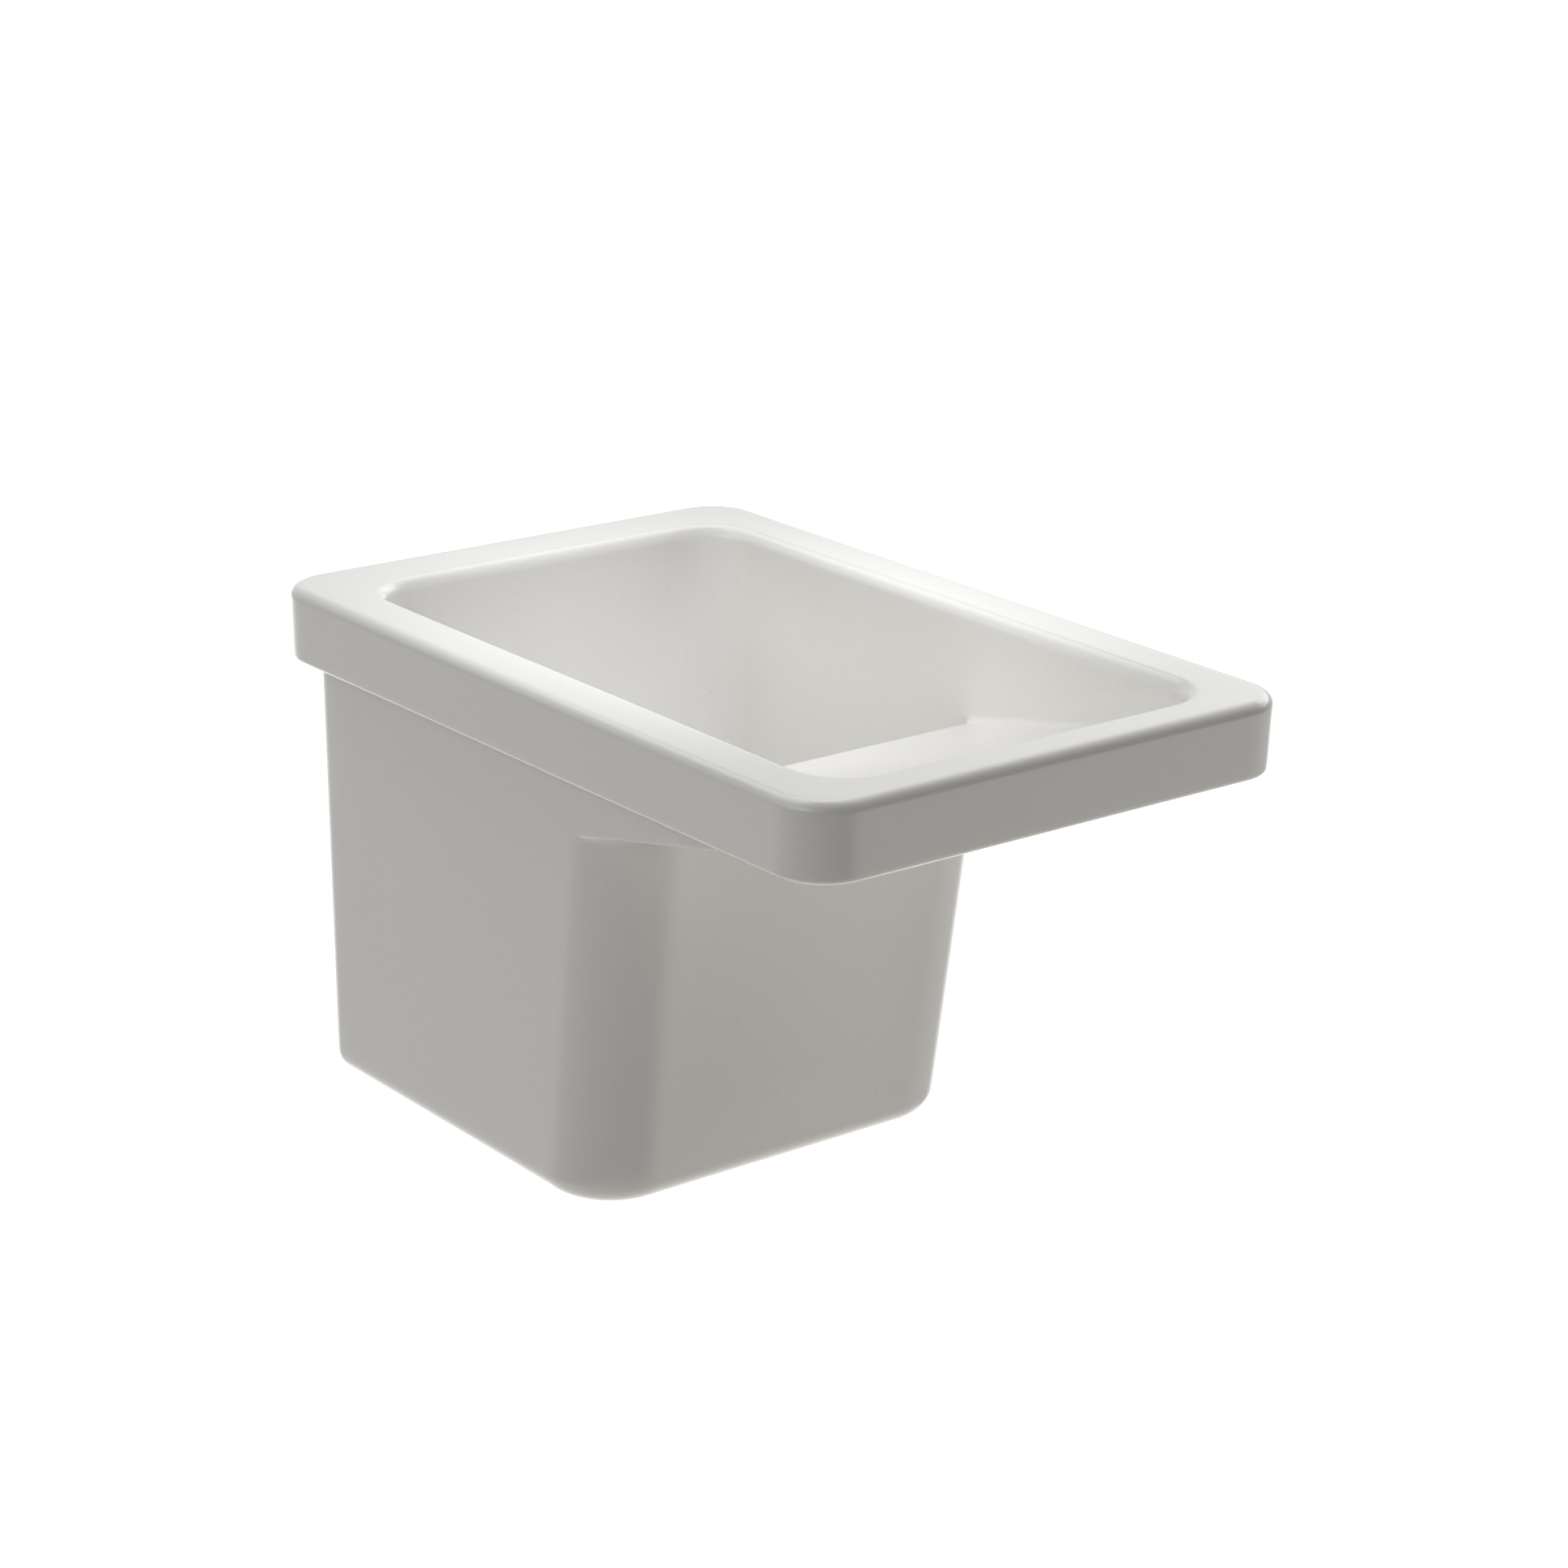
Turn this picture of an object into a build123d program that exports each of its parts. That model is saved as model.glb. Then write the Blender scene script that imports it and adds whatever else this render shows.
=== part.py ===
from build123d import *
import os

# A wall-hung ceramic laundry sink: a deep square bowl with a sloping shelf in front of it,
# a flat rim with a turned-down apron, a basket waste in its floor and two hooks on the wall.
# Millimetres. +Z is up and +Y points to the wall. x = 0 is the middle, y = 0 is the wall,
# and z = 0 is the lower edge of the rim.

# Rim
rim_width = 390.0
rim_depth = 600.0
rim_height = 52.0
rim_corner = 36.0
rim_draft = 1.0
rim_top_round = 8.0
rim_foot_round = 4.0
rim_inner_round = 9.0
rim_top_wall = 14.0
apron_wall = 12.0

# Outside of the bowl and of the shelf in front of it
body_height = 318.0
side_overhang = 29.6
side_draft = 6.3
front_set_back = 227.0
front_lean = 42.0
body_front_corner = 52.0
body_back_corner = 22.0
body_foot_round = 18.0
shelf_slope = 0.218
shelf_thickness = 19.0
shelf_edge_round = 2.5
shelf_joint_round = 12.0

# Inside of the bowl and of the shelf
side_wall = 14.4
back_ledge = 54.0
front_ledge = 35.0
inner_draft = 4.0
inner_corner = 36.0
front_wall = 33.0
front_wall_foot = 18.0
bowl_round = 14.0
floor_thickness = 18.0
shelf_drop = 29.0
crease_round = 5.0

# Hollow back, open to the wall
back_wall = 16.0
back_rib = 16.0
back_skirt = 20.0
back_web_height = 27.0
back_web = 20.0
pocket_round = 8.0

# Wall hooks
hook_metal = 5.0
hook_width = 50.0
hook_spacing = 156.0
hook_length = 84.0
hook_reach = 29.0
hook_nose = 12.0
hook_bend = 7.0
screw_spacing = 40.0
screw_drop = 22.0
screw_hole = 4.5
pad_thickness = 3.0
pad_inset = 2.0

# Waste hole in the floor
drain_behind_middle = 8.0
drain_hole = 45.0
flange_radius = 56.0
flange_gap = 2.0

# Steel strainer bowl
steel = 1.2
cup_radius = 40.0
cup_taper = 1.0
seat_level = 20.0
seat_width = 8.0
seat_fall = 5.0
well_radius = 31.0
strainer_depth = 36.0
strainer_round = 3.0
drain_slots = 12
drain_slot = 2.6
drain_ring = 21.5

# Seals and plastic body under the floor
seal_thickness = 2.0
seal_width = 10.0
gasket_thickness = 4.0
gasket_lip = 1.5
gasket_lip_height = 6.0
gasket_radius = 54.0
slip_ring_thickness = 0.8
waste_flange = 4.0
waste_wall = 3.0
waste_bore = 44.0
waste_cup_depth = 15.0
waste_cone = 10.0
outlet_bore = 20.0
outlet_thread = 23.9
outlet_length = 24.0
boss_radius = 11.0
boss_height = 12.0
boss_gap = 3.0
boss_ribs = 3
boss_rib = 3.0

# Clamping screw
screw_radius = 5.0
screw_length = 16.0
screw_head = 8.5
screw_head_height = 5.0
screw_socket = 3.6
screw_socket_depth = 16.0
screw_slot = 2.0
screw_slot_depth = 2.2
washer_thickness = 1.0
washer_radius = 10.0
insert_radius = 7.0
insert_height = 8.0

# Lift-out basket
basket_metal = 1.0
basket_top = 38.0
basket_floor = 32.0
basket_rim_drop = 2.0
basket_seal_thickness = 3.5
basket_seal_radius = 35.5
seal_bevel = 1.5
carrier_radius = 24.0
carrier_thickness = 3.0
post_radius = 4.0
post_thread = 2.5
post_rise = 0.5
post_spigot = 6.0
nut_across_flats = 10.0
nut_height = 3.0
collet_radius = 3.3
collet_length = 11.0
collet_slit = 0.8
knob_radius = 9.0
knob_height = 11.0
knob_edge = 1.5
basket_slots = 14
basket_slot = 1.6
basket_slot_height = 9.0

# Shortest edge that counts as a standing corner
corner_edge = 20.0

# Clearances
moving_gap = 0.3
loose_fit = 0.05
hole_play = 0.3
cut_past = 5.0

# Levels and places worked out from the sizes above
half_rim = rim_width / 2
half_body = half_rim - side_overhang
half_inner = half_body - side_wall
front_top = -rim_depth + front_set_back
floor_level = -body_height + floor_thickness
side_slope = side_draft / body_height
front_slope = front_lean / body_height
inner_slope = inner_draft / (rim_height - floor_level)
inner_front = -rim_depth + front_ledge
inner_back = -back_ledge


def shelf_top(y):
    """Level of the shelf's upper face at a distance y from the wall."""
    return rim_height - shelf_drop - shelf_slope * (y - inner_front)


def shelf_under(y):
    """Level of the shelf's lower face."""
    return shelf_top(y) - shelf_thickness


# The shelf breaks off where the bowl's inner front wall begins: both are straight lines in the
# middle section, so the crease is where they meet.
outer_front_at_rim = front_top + front_wall
inner_front_foot = front_top + front_lean + front_wall_foot
inner_front_slope = (inner_front_foot - outer_front_at_rim) / -floor_level
crease_y = outer_front_at_rim + inner_front_slope * -shelf_top(outer_front_at_rim)
crease_level = shelf_top(crease_y)

drain_y = (inner_front_foot + inner_back) / 2 + drain_behind_middle
flange_recess = steel + seal_thickness

# Levels of the waste, counted from the top of the bowl's floor
gasket_foot = -floor_thickness - gasket_thickness
ring_foot = gasket_foot - slip_ring_thickness
waste_flange_foot = ring_foot - waste_flange
waste_cup_foot = waste_flange_foot - waste_cup_depth
waste_cone_foot = waste_cup_foot - waste_cone
strainer_foot = -strainer_depth - steel
boss_top = strainer_foot - boss_gap
screw_seat = washer_thickness - strainer_depth
screw_top = screw_seat + screw_head_height
cone_fall = seat_fall / seat_width
seal_flat = basket_seal_radius - seal_bevel
seal_foot = -seat_level - cone_fall * (cup_radius - cup_taper - seal_flat) + moving_gap * (1 + cone_fall ** 2) ** 0.5
seal_top = seal_foot + basket_seal_thickness
basket_floor_top = seal_top + basket_metal
carrier_foot = seal_foot - carrier_thickness
nut_foot = carrier_foot - nut_height
collet_top = nut_foot - moving_gap
knob_foot = -basket_rim_drop - knob_height
ceiling = rim_height - rim_top_wall
web_foot = rim_height - back_web_height
hook_top = web_foot - pad_thickness


def outer_half(level):
    """Half width of the bowl's outside at a level."""
    return half_body + side_slope * level


def inner_half(level):
    """Half width of the bowl's inside at a level."""
    return half_inner - inner_slope * (rim_height - level)


def plan(level, half_width, front, back, radius):
    """A rectangle with rounded corners, seen from above, at a level."""
    corners = [(-half_width, back), (-half_width, front), (half_width, front), (half_width, back)]
    points = [(x, y, level) for x, y in corners]
    return make_face(FilletPolyline(*points, radius=radius, close=True))


def box_between(low, high):
    """A box from its lowest to its highest corner."""
    size = [b - a for a, b in zip(low, high)]
    middle = [(a + b) / 2 for a, b in zip(low, high)]
    return Pos(*middle) * Box(*size)


def side_prism(points, half_width=half_rim):
    """A shape drawn as (y, z) points in the middle section and carried out to both sides."""
    face = make_face(Plane.YZ * Polyline(*points, close=True))
    return extrude(face, amount=half_width, both=True)


def between_sides(half_at):
    """Everything between two leaning side planes."""
    low, high = -body_height - cut_past, rim_height + 2 * cut_past
    points = [(-half_at(low), low), (half_at(low), low), (half_at(high), high), (-half_at(high), high)]
    face = make_face(Plane.XZ * Polyline(*points, close=True))
    return extrude(face, amount=rim_depth + cut_past, both=True)


def turned(points):
    """A turned piece on the waste's axis, from the (radius, level) points of half its section.

    The levels are measured from the top of the bowl's floor.
    """
    face = make_face(Plane.XZ * Polyline(*points, close=True))
    return Pos(0, drain_y, floor_level) * revolve(face, Axis.Z)


def around_waste(piece, count, first=0.0):
    """Copies of a piece evenly round the waste's axis, from a piece drawn beside the origin."""
    turns = [Pos(0, drain_y, floor_level) * Rot(0, 0, first + 360 * i / count) for i in range(count)]
    return [turn * piece for turn in turns]


def upright(shape, near, far):
    """The standing edges of a shape whose middles lie between two distances from the wall."""
    edges = [e for e in shape.edges() if e.bounding_box().size.Z > max(e.bounding_box().size.X, corner_edge)]
    return [e for e in edges if near <= e.center().Y <= far]


def rim_block():
    """The rim as a full block: flat top, slightly drafted apron, all its outer edges rounded."""
    foot = plan(0, half_rim - rim_draft, -rim_depth + rim_draft, 0, rim_corner)
    flare = rim_draft * rim_top_round / (rim_height - rim_top_round)
    top = plan(rim_height, half_rim + flare, -rim_depth - flare, 0, rim_corner)
    block = loft([foot, top], ruled=True)
    block = fillet(block.edges().group_by(Axis.Z)[-1], rim_top_round)
    return fillet(block.edges().group_by(Axis.Z)[0], rim_foot_round)


def body_block():
    """The outside of the deep bowl, its front wall leaning back towards the foot."""
    block = side_prism([(0, ceiling), (0, -body_height), (front_top + front_lean, -body_height),
                        (front_top - front_slope * ceiling, ceiling)])
    block &= between_sides(outer_half)
    block = fillet(upright(block, -rim_depth, front_top + front_lean), body_front_corner)
    block = fillet([e for e in upright(block, -1, 1) if abs(e.center().X) > half_rim / 2], body_back_corner)
    return fillet(block.edges().group_by(Axis.Z)[0], body_foot_round)


def shelf_block():
    """The outside of the shelf: a wedge as wide as the bowl, from the bowl to the front apron."""
    front = -rim_depth + apron_wall
    back = front_top + front_set_back / 2
    block = side_prism([(front, shelf_under(front)), (front, ceiling), (back, ceiling), (back, shelf_under(back))])
    block &= between_sides(outer_half)
    lower = [e for e in block.edges() if abs(e.center().Z - shelf_under(e.center().Y)) < 1
             and abs(e.center().X) > half_rim / 2]
    return fillet(lower, shelf_edge_round)


def outside_block():
    """Bowl and shelf in one, with a soft hollow where the bowl's front meets the shelf."""
    block = body_block() + shelf_block()
    joint = [e for e in block.edges() if abs(e.center().Z - shelf_under(e.center().Y)) < 4
             and abs(e.center().Y - front_top) < body_front_corner + cut_past
             and e.center().Z < 0]
    return fillet(joint, shelf_joint_round)


def hollow_block():
    """The space inside the sink: deep bowl and shelf, open at the top."""
    top = rim_height + cut_past
    shelf_start = rim_height - shelf_drop

    def front_at(level):
        return inner_front + inner_slope * (rim_height - level)

    def back_at(level):
        return inner_back - inner_slope * (rim_height - level)

    section = make_face(Plane.YZ * Polyline(
        (front_at(top), top), (front_at(shelf_start), shelf_start), (crease_y, crease_level),
        (inner_front_foot, floor_level), (back_at(floor_level), floor_level), (back_at(top), top), close=True))
    crease = section.vertices().sort_by_distance((0, crease_y, crease_level))[0]
    block = extrude(fillet(crease, crease_round), amount=half_rim, both=True)
    block &= between_sides(inner_half)
    corners = upright(block, inner_back - inner_draft, 0) + upright(block, -rim_depth, inner_front + inner_draft)
    block = fillet(corners, inner_corner)
    kept_sharp = upright(block, inner_back - inner_corner - inner_draft, 0) + upright(
        block, -rim_depth, inner_front + inner_corner + inner_draft)
    low = [e for e in block.edges() if e.center().Z < top - 1
           and not any(e.is_same(k) for k in kept_sharp)
           and not (abs(e.center().X) < 1 and abs(e.center().Z - crease_level) < 2 * crease_round)]
    return fillet(low, bowl_round)


def back_pockets():
    """Two hollows in the back, open to the wall, with a web above them that hangs on the hooks."""
    reach = inner_back + back_wall
    far = outer_half(floor_level) - back_skirt
    pocket = box_between((back_rib / 2, reach, floor_level), (far, cut_past, web_foot))
    pocket += box_between((back_rib / 2, reach, floor_level), (far, -back_web, ceiling))
    pocket = fillet(pocket.edges().filter_by(Axis.Y).group_by(Axis.Z)[0], pocket_round)
    return [pocket, mirror(pocket, Plane.YZ)]


def rim_channels():
    """The hollows under the rim at both sides, between the apron and the bowl."""
    room = extrude(plan(-cut_past, half_rim - apron_wall, -rim_depth + apron_wall, -apron_wall,
                        rim_corner - apron_wall), amount=ceiling + cut_past)
    return room - between_sides(outer_half)


def make_basin():
    """The glazed ceramic piece."""
    basin = outside_block() + rim_block()
    basin -= hollow_block()
    opening = [e for e in basin.edges().group_by(Axis.Z)[-1]
               if abs(e.center().X) < half_inner + 1 and inner_front - 1 < e.center().Y < inner_back + 1]
    basin = fillet(opening, rim_inner_round)
    basin -= back_pockets()
    basin -= rim_channels()
    basin -= turned([(0, cut_past), (flange_radius + flange_gap, cut_past), (flange_radius + flange_gap, -flange_recess),
                     (drain_hole, -flange_recess), (drain_hole, -floor_thickness - cut_past),
                     (0, -floor_thickness - cut_past)])
    return basin


def make_hooks():
    """Two bent steel hooks on the wall, each with two screw holes."""
    foot = hook_top - hook_length
    outline = [(0, foot), (0, hook_top), (-hook_reach + hook_metal, hook_top),
               (-hook_reach + hook_metal, hook_top + hook_nose), (-hook_reach, hook_top + hook_nose),
               (-hook_reach, hook_top - hook_metal), (-hook_metal, hook_top - hook_metal), (-hook_metal, foot)]
    inside = hook_bend - hook_metal
    radii = [0, hook_bend, inside, 0, 0, hook_bend, inside, 0]
    face = make_face(Plane.YZ * FilletPolyline(*outline, radius=radii, close=True))
    hook = extrude(face, amount=hook_width / 2, both=True)
    for drop in (screw_drop, screw_drop + screw_spacing):
        hook -= Pos(0, 0, hook_top - drop) * Rot(90, 0, 0) * Cylinder(screw_hole, 4 * hook_metal)
    return Compound(children=[Pos(side * hook_spacing / 2, 0, 0) * hook for side in (-1, 1)])


def make_pads():
    """Rubber liners between the hooks and the web they carry."""
    back = -hook_reach + hook_metal
    lip = back + pad_thickness
    outline = [(-hook_bend, hook_top), (-hook_bend, web_foot), (lip, web_foot), (lip, hook_top + hook_nose),
               (back, hook_top + hook_nose), (back, hook_top + hook_bend - hook_metal),
               (back + hook_bend - hook_metal, hook_top)]
    pad = side_prism(outline, hook_width / 2 - pad_inset)
    return Compound(children=[Pos(side * hook_spacing / 2, 0, 0) * pad for side in (-1, 1)])


def make_strainer_bowl():
    """The pressed steel bowl of the waste, with a conical seat for the basket and a slotted foot."""
    cone_top = cup_radius - cup_taper
    cone_foot = -seat_level - seat_fall
    middle = screw_radius + hole_play
    bowl = turned([(middle, -strainer_depth), (well_radius, -strainer_depth), (well_radius, cone_foot),
                   (cone_top, -seat_level), (cup_radius, -steel), (cup_radius, 0), (flange_radius, 0),
                   (flange_radius, -steel), (cup_radius + steel, -steel), (cone_top + steel, -seat_level - steel),
                   (well_radius + steel, cone_foot - steel), (well_radius + steel, strainer_foot),
                   (middle, strainer_foot)])
    hole = Pos(drain_ring, 0, -strainer_depth) * Cylinder(drain_slot, 4 * steel)
    return bowl - around_waste(hole, drain_slots)


def make_flange_seal():
    """The flat rubber ring between the steel flange and the bowl's floor."""
    return turned([(flange_radius - seal_width, -steel), (flange_radius, -steel), (flange_radius, -flange_recess),
                   (flange_radius - seal_width, -flange_recess)])


def make_under_gasket():
    """The rubber gasket under the floor, with a lip that stands up in the drain hole."""
    lip_outer = drain_hole - hole_play
    lip_inner = lip_outer - gasket_lip
    lip_top = -floor_thickness + gasket_lip_height
    return turned([(lip_inner, gasket_foot), (gasket_radius, gasket_foot), (gasket_radius, -floor_thickness),
                   (lip_outer, -floor_thickness), (lip_outer, lip_top), (lip_inner, lip_top)])


def make_slip_ring():
    """The thin ring that lets the waste body turn against the gasket while it is tightened."""
    return turned([(waste_bore, ring_foot), (gasket_radius, ring_foot), (gasket_radius, gasket_foot),
                   (waste_bore, gasket_foot)])


def make_waste_body():
    """The plastic cup under the floor, with its outlet and a boss on ribs for the clamping screw."""
    outer = waste_bore + waste_wall
    body = turned([(waste_bore, ring_foot), (gasket_radius, ring_foot), (gasket_radius, waste_flange_foot),
                   (outer, waste_flange_foot), (outer, waste_cup_foot), (outlet_thread, waste_cone_foot),
                   (outlet_thread, waste_cone_foot - outlet_length), (outlet_bore, waste_cone_foot - outlet_length),
                   (outlet_bore, waste_cone_foot), (waste_bore, waste_cup_foot)])
    body += turned([(0, boss_top), (boss_radius, boss_top), (boss_radius, boss_top - boss_height),
                    (0, boss_top - boss_height)])
    inside = turned([(0, boss_top), (outer - waste_wall / 2, boss_top), (outer - waste_wall / 2, waste_cup_foot),
                     (outlet_thread - waste_wall / 2, waste_cone_foot), (outlet_bore, waste_cone_foot),
                     (0, waste_cone_foot)])
    rib = Pos(outer / 2, 0, boss_top) * Box(outer, boss_rib, 2 * boss_height)
    body += [inside & one for one in around_waste(rib, boss_ribs, 90)]
    seat = turned([(0, boss_top + 1), (insert_radius, boss_top + 1), (insert_radius, boss_top - insert_height),
                   (screw_radius + hole_play, boss_top - insert_height),
                   (screw_radius + hole_play, boss_top - boss_height - 1), (0, boss_top - boss_height - 1)])
    return body - seat


def make_threaded_insert():
    """The brass insert in the boss."""
    bore = screw_radius + loose_fit
    return turned([(bore, boss_top - insert_height), (insert_radius, boss_top - insert_height),
                   (insert_radius, boss_top), (bore, boss_top)])


def make_clamping_screw():
    """The hollow screw that draws the waste body up against the floor."""
    foot = screw_seat - screw_length
    screw = turned([(0, foot), (screw_radius, foot), (screw_radius, screw_seat), (screw_head, screw_seat),
                    (screw_head, screw_top), (screw_socket, screw_top), (screw_socket, screw_top - screw_socket_depth),
                    (0, screw_top - screw_socket_depth)])
    screw = chamfer(screw.edges().group_by(Axis.Z)[0], 1)
    slot = Pos(0, 0, screw_top) * Box(4 * screw_head, screw_slot, 2 * screw_slot_depth)
    return screw - around_waste(slot, 2) - around_waste(slot, 2, 90)


def make_screw_washer():
    """The washer under the screw's head."""
    bore = screw_radius + hole_play
    return turned([(bore, -strainer_depth), (washer_radius, -strainer_depth), (washer_radius, screw_seat),
                   (bore, screw_seat)])


def make_basket_cup():
    """The pressed basket: a slotted wall on a flat floor, open at the top."""
    foot_outer = basket_floor
    bore = post_thread + loose_fit
    cup = turned([(bore, seal_top), (foot_outer, seal_top), (basket_top, -basket_rim_drop),
                  (basket_top - basket_metal, -basket_rim_drop), (foot_outer - basket_metal, basket_floor_top),
                  (bore, basket_floor_top)])
    slot = Pos(basket_floor + basket_metal, 0, (basket_floor_top - basket_rim_drop) / 2) * Box(
        4 * (basket_top - basket_floor), basket_slot, basket_slot_height)
    return cup - around_waste(slot, basket_slots)


def make_basket_seal():
    """The rubber disc under the basket, bevelled to lie on the conical seat."""
    bore = post_thread + loose_fit
    return turned([(bore, seal_foot), (seal_flat, seal_foot), (basket_seal_radius, seal_foot + seal_bevel * cone_fall),
                   (basket_seal_radius, seal_top), (bore, seal_top)])


def make_seal_carrier():
    """The stiff disc that holds the seal up against the basket."""
    bore = post_thread + loose_fit
    disc = turned([(bore, carrier_foot), (carrier_radius, carrier_foot), (carrier_radius, seal_foot),
                   (bore, seal_foot)])
    return chamfer(disc.edges().group_by(Axis.Z)[0].filter_by(GeomType.CIRCLE).sort_by(SortBy.LENGTH)[-1], 1)


def make_basket_post():
    """The post through the basket: a shoulder above its floor and a thin end below it."""
    foot = collet_top - post_spigot
    return turned([(0, foot), (post_thread, foot), (post_thread, basket_floor_top),
                   (post_radius, basket_floor_top), (post_radius, knob_foot + knob_height / 2),
                   (0, knob_foot + knob_height / 2)])


def make_basket_knob():
    """The turned knob on the post, waisted so that two fingers can lift it."""
    half = knob_height / 2
    top = knob_foot + knob_height
    waist = (knob_radius + post_radius) / 2
    knob = turned([(post_radius, knob_foot), (waist, knob_foot), (waist, knob_foot + half - 1),
                   (knob_radius, knob_foot + half + 1), (knob_radius, top), (0, top), (0, knob_foot + half),
                   (post_radius, knob_foot + half)])
    rim = knob.edges().filter_by(GeomType.CIRCLE).group_by(Axis.Z)[-1]
    return fillet(rim, knob_edge)


def make_post_nut():
    """The nut that clamps basket, seal and carrier on the post."""
    face = RegularPolygon(nut_across_flats / 2, 6, major_radius=False)
    nut = extrude(face, amount=nut_height) - Cylinder(post_thread + loose_fit, 4 * nut_height)
    return Pos(0, drain_y, floor_level + nut_foot) * nut


def make_snap_collet():
    """The slit plastic sleeve on the end of the post that plugs into the clamping screw."""
    collet = turned([(post_thread, collet_top - collet_length), (collet_radius, collet_top - collet_length),
                     (collet_radius, collet_top), (post_thread, collet_top)])
    slit = Pos(0, 0, collet_top - collet_length) * Box(
        4 * collet_radius, collet_slit, 2 * (collet_length - post_spigot))
    return collet - around_waste(slit, 1)


def main():
    """Write one file for each piece."""
    pieces = {
        "basin": make_basin(),
        "wall_hooks": make_hooks(),
        "hook_pads": make_pads(),
        "strainer_bowl": make_strainer_bowl(),
        "flange_seal": make_flange_seal(),
        "under_gasket": make_under_gasket(),
        "slip_ring": make_slip_ring(),
        "waste_body": make_waste_body(),
        "threaded_insert": make_threaded_insert(),
        "clamping_screw": make_clamping_screw(),
        "screw_washer": make_screw_washer(),
        "basket_cup": make_basket_cup(),
        "basket_seal": make_basket_seal(),
        "seal_carrier": make_seal_carrier(),
        "basket_post": make_basket_post(),
        "basket_knob": make_basket_knob(),
        "post_nut": make_post_nut(),
        "snap_collet": make_snap_collet(),
    }
    for name, piece in pieces.items():
        export_step(piece, f"parts/{name}.step")
        box = piece.bounding_box()
        low = [round(v, 2) for v in box.min]
        high = [round(v, 2) for v in box.max]
        print(name, len(piece.solids()), "solid", round(piece.volume / 1000, 2), "cm3", low, high)


os.makedirs("parts", exist_ok=True)
main()
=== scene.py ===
import math

import bpy
import numpy as np
from mathutils import Matrix, Vector


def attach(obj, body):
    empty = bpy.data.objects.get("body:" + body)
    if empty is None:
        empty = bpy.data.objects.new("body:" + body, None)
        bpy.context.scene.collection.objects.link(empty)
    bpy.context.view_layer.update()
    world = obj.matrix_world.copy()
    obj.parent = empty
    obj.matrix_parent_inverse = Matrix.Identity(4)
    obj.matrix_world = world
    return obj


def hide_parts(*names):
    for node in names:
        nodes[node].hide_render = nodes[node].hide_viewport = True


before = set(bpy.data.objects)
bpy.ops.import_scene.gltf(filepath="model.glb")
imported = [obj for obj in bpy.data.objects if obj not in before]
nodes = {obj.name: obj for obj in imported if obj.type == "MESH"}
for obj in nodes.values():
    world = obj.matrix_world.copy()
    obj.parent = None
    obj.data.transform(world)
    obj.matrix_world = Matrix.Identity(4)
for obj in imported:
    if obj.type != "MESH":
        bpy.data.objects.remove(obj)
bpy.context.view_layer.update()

mm = 0.001
print("frame loaded:", len(nodes), "nodes")


class Wire:  # an output socket; arithmetic on it adds Math nodes to its tree
    def __init__(self, finish, socket):
        self.finish, self.socket = finish, socket

    def __add__(self, other):
        return self.finish.maths("ADD", self, other)

    def __radd__(self, other):
        return self.finish.maths("ADD", other, self)

    def __sub__(self, other):
        return self.finish.maths("SUBTRACT", self, other)

    def __rsub__(self, other):
        return self.finish.maths("SUBTRACT", other, self)

    def __mul__(self, other):
        return self.finish.maths("MULTIPLY", self, other)

    def __rmul__(self, other):
        return self.finish.maths("MULTIPLY", other, self)

    def __truediv__(self, other):
        return self.finish.maths("DIVIDE", self, other)

    def __pow__(self, other):
        return self.finish.maths("POWER", self, other)

    def __abs__(self):
        return self.finish.maths("ABSOLUTE", self)


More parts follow.
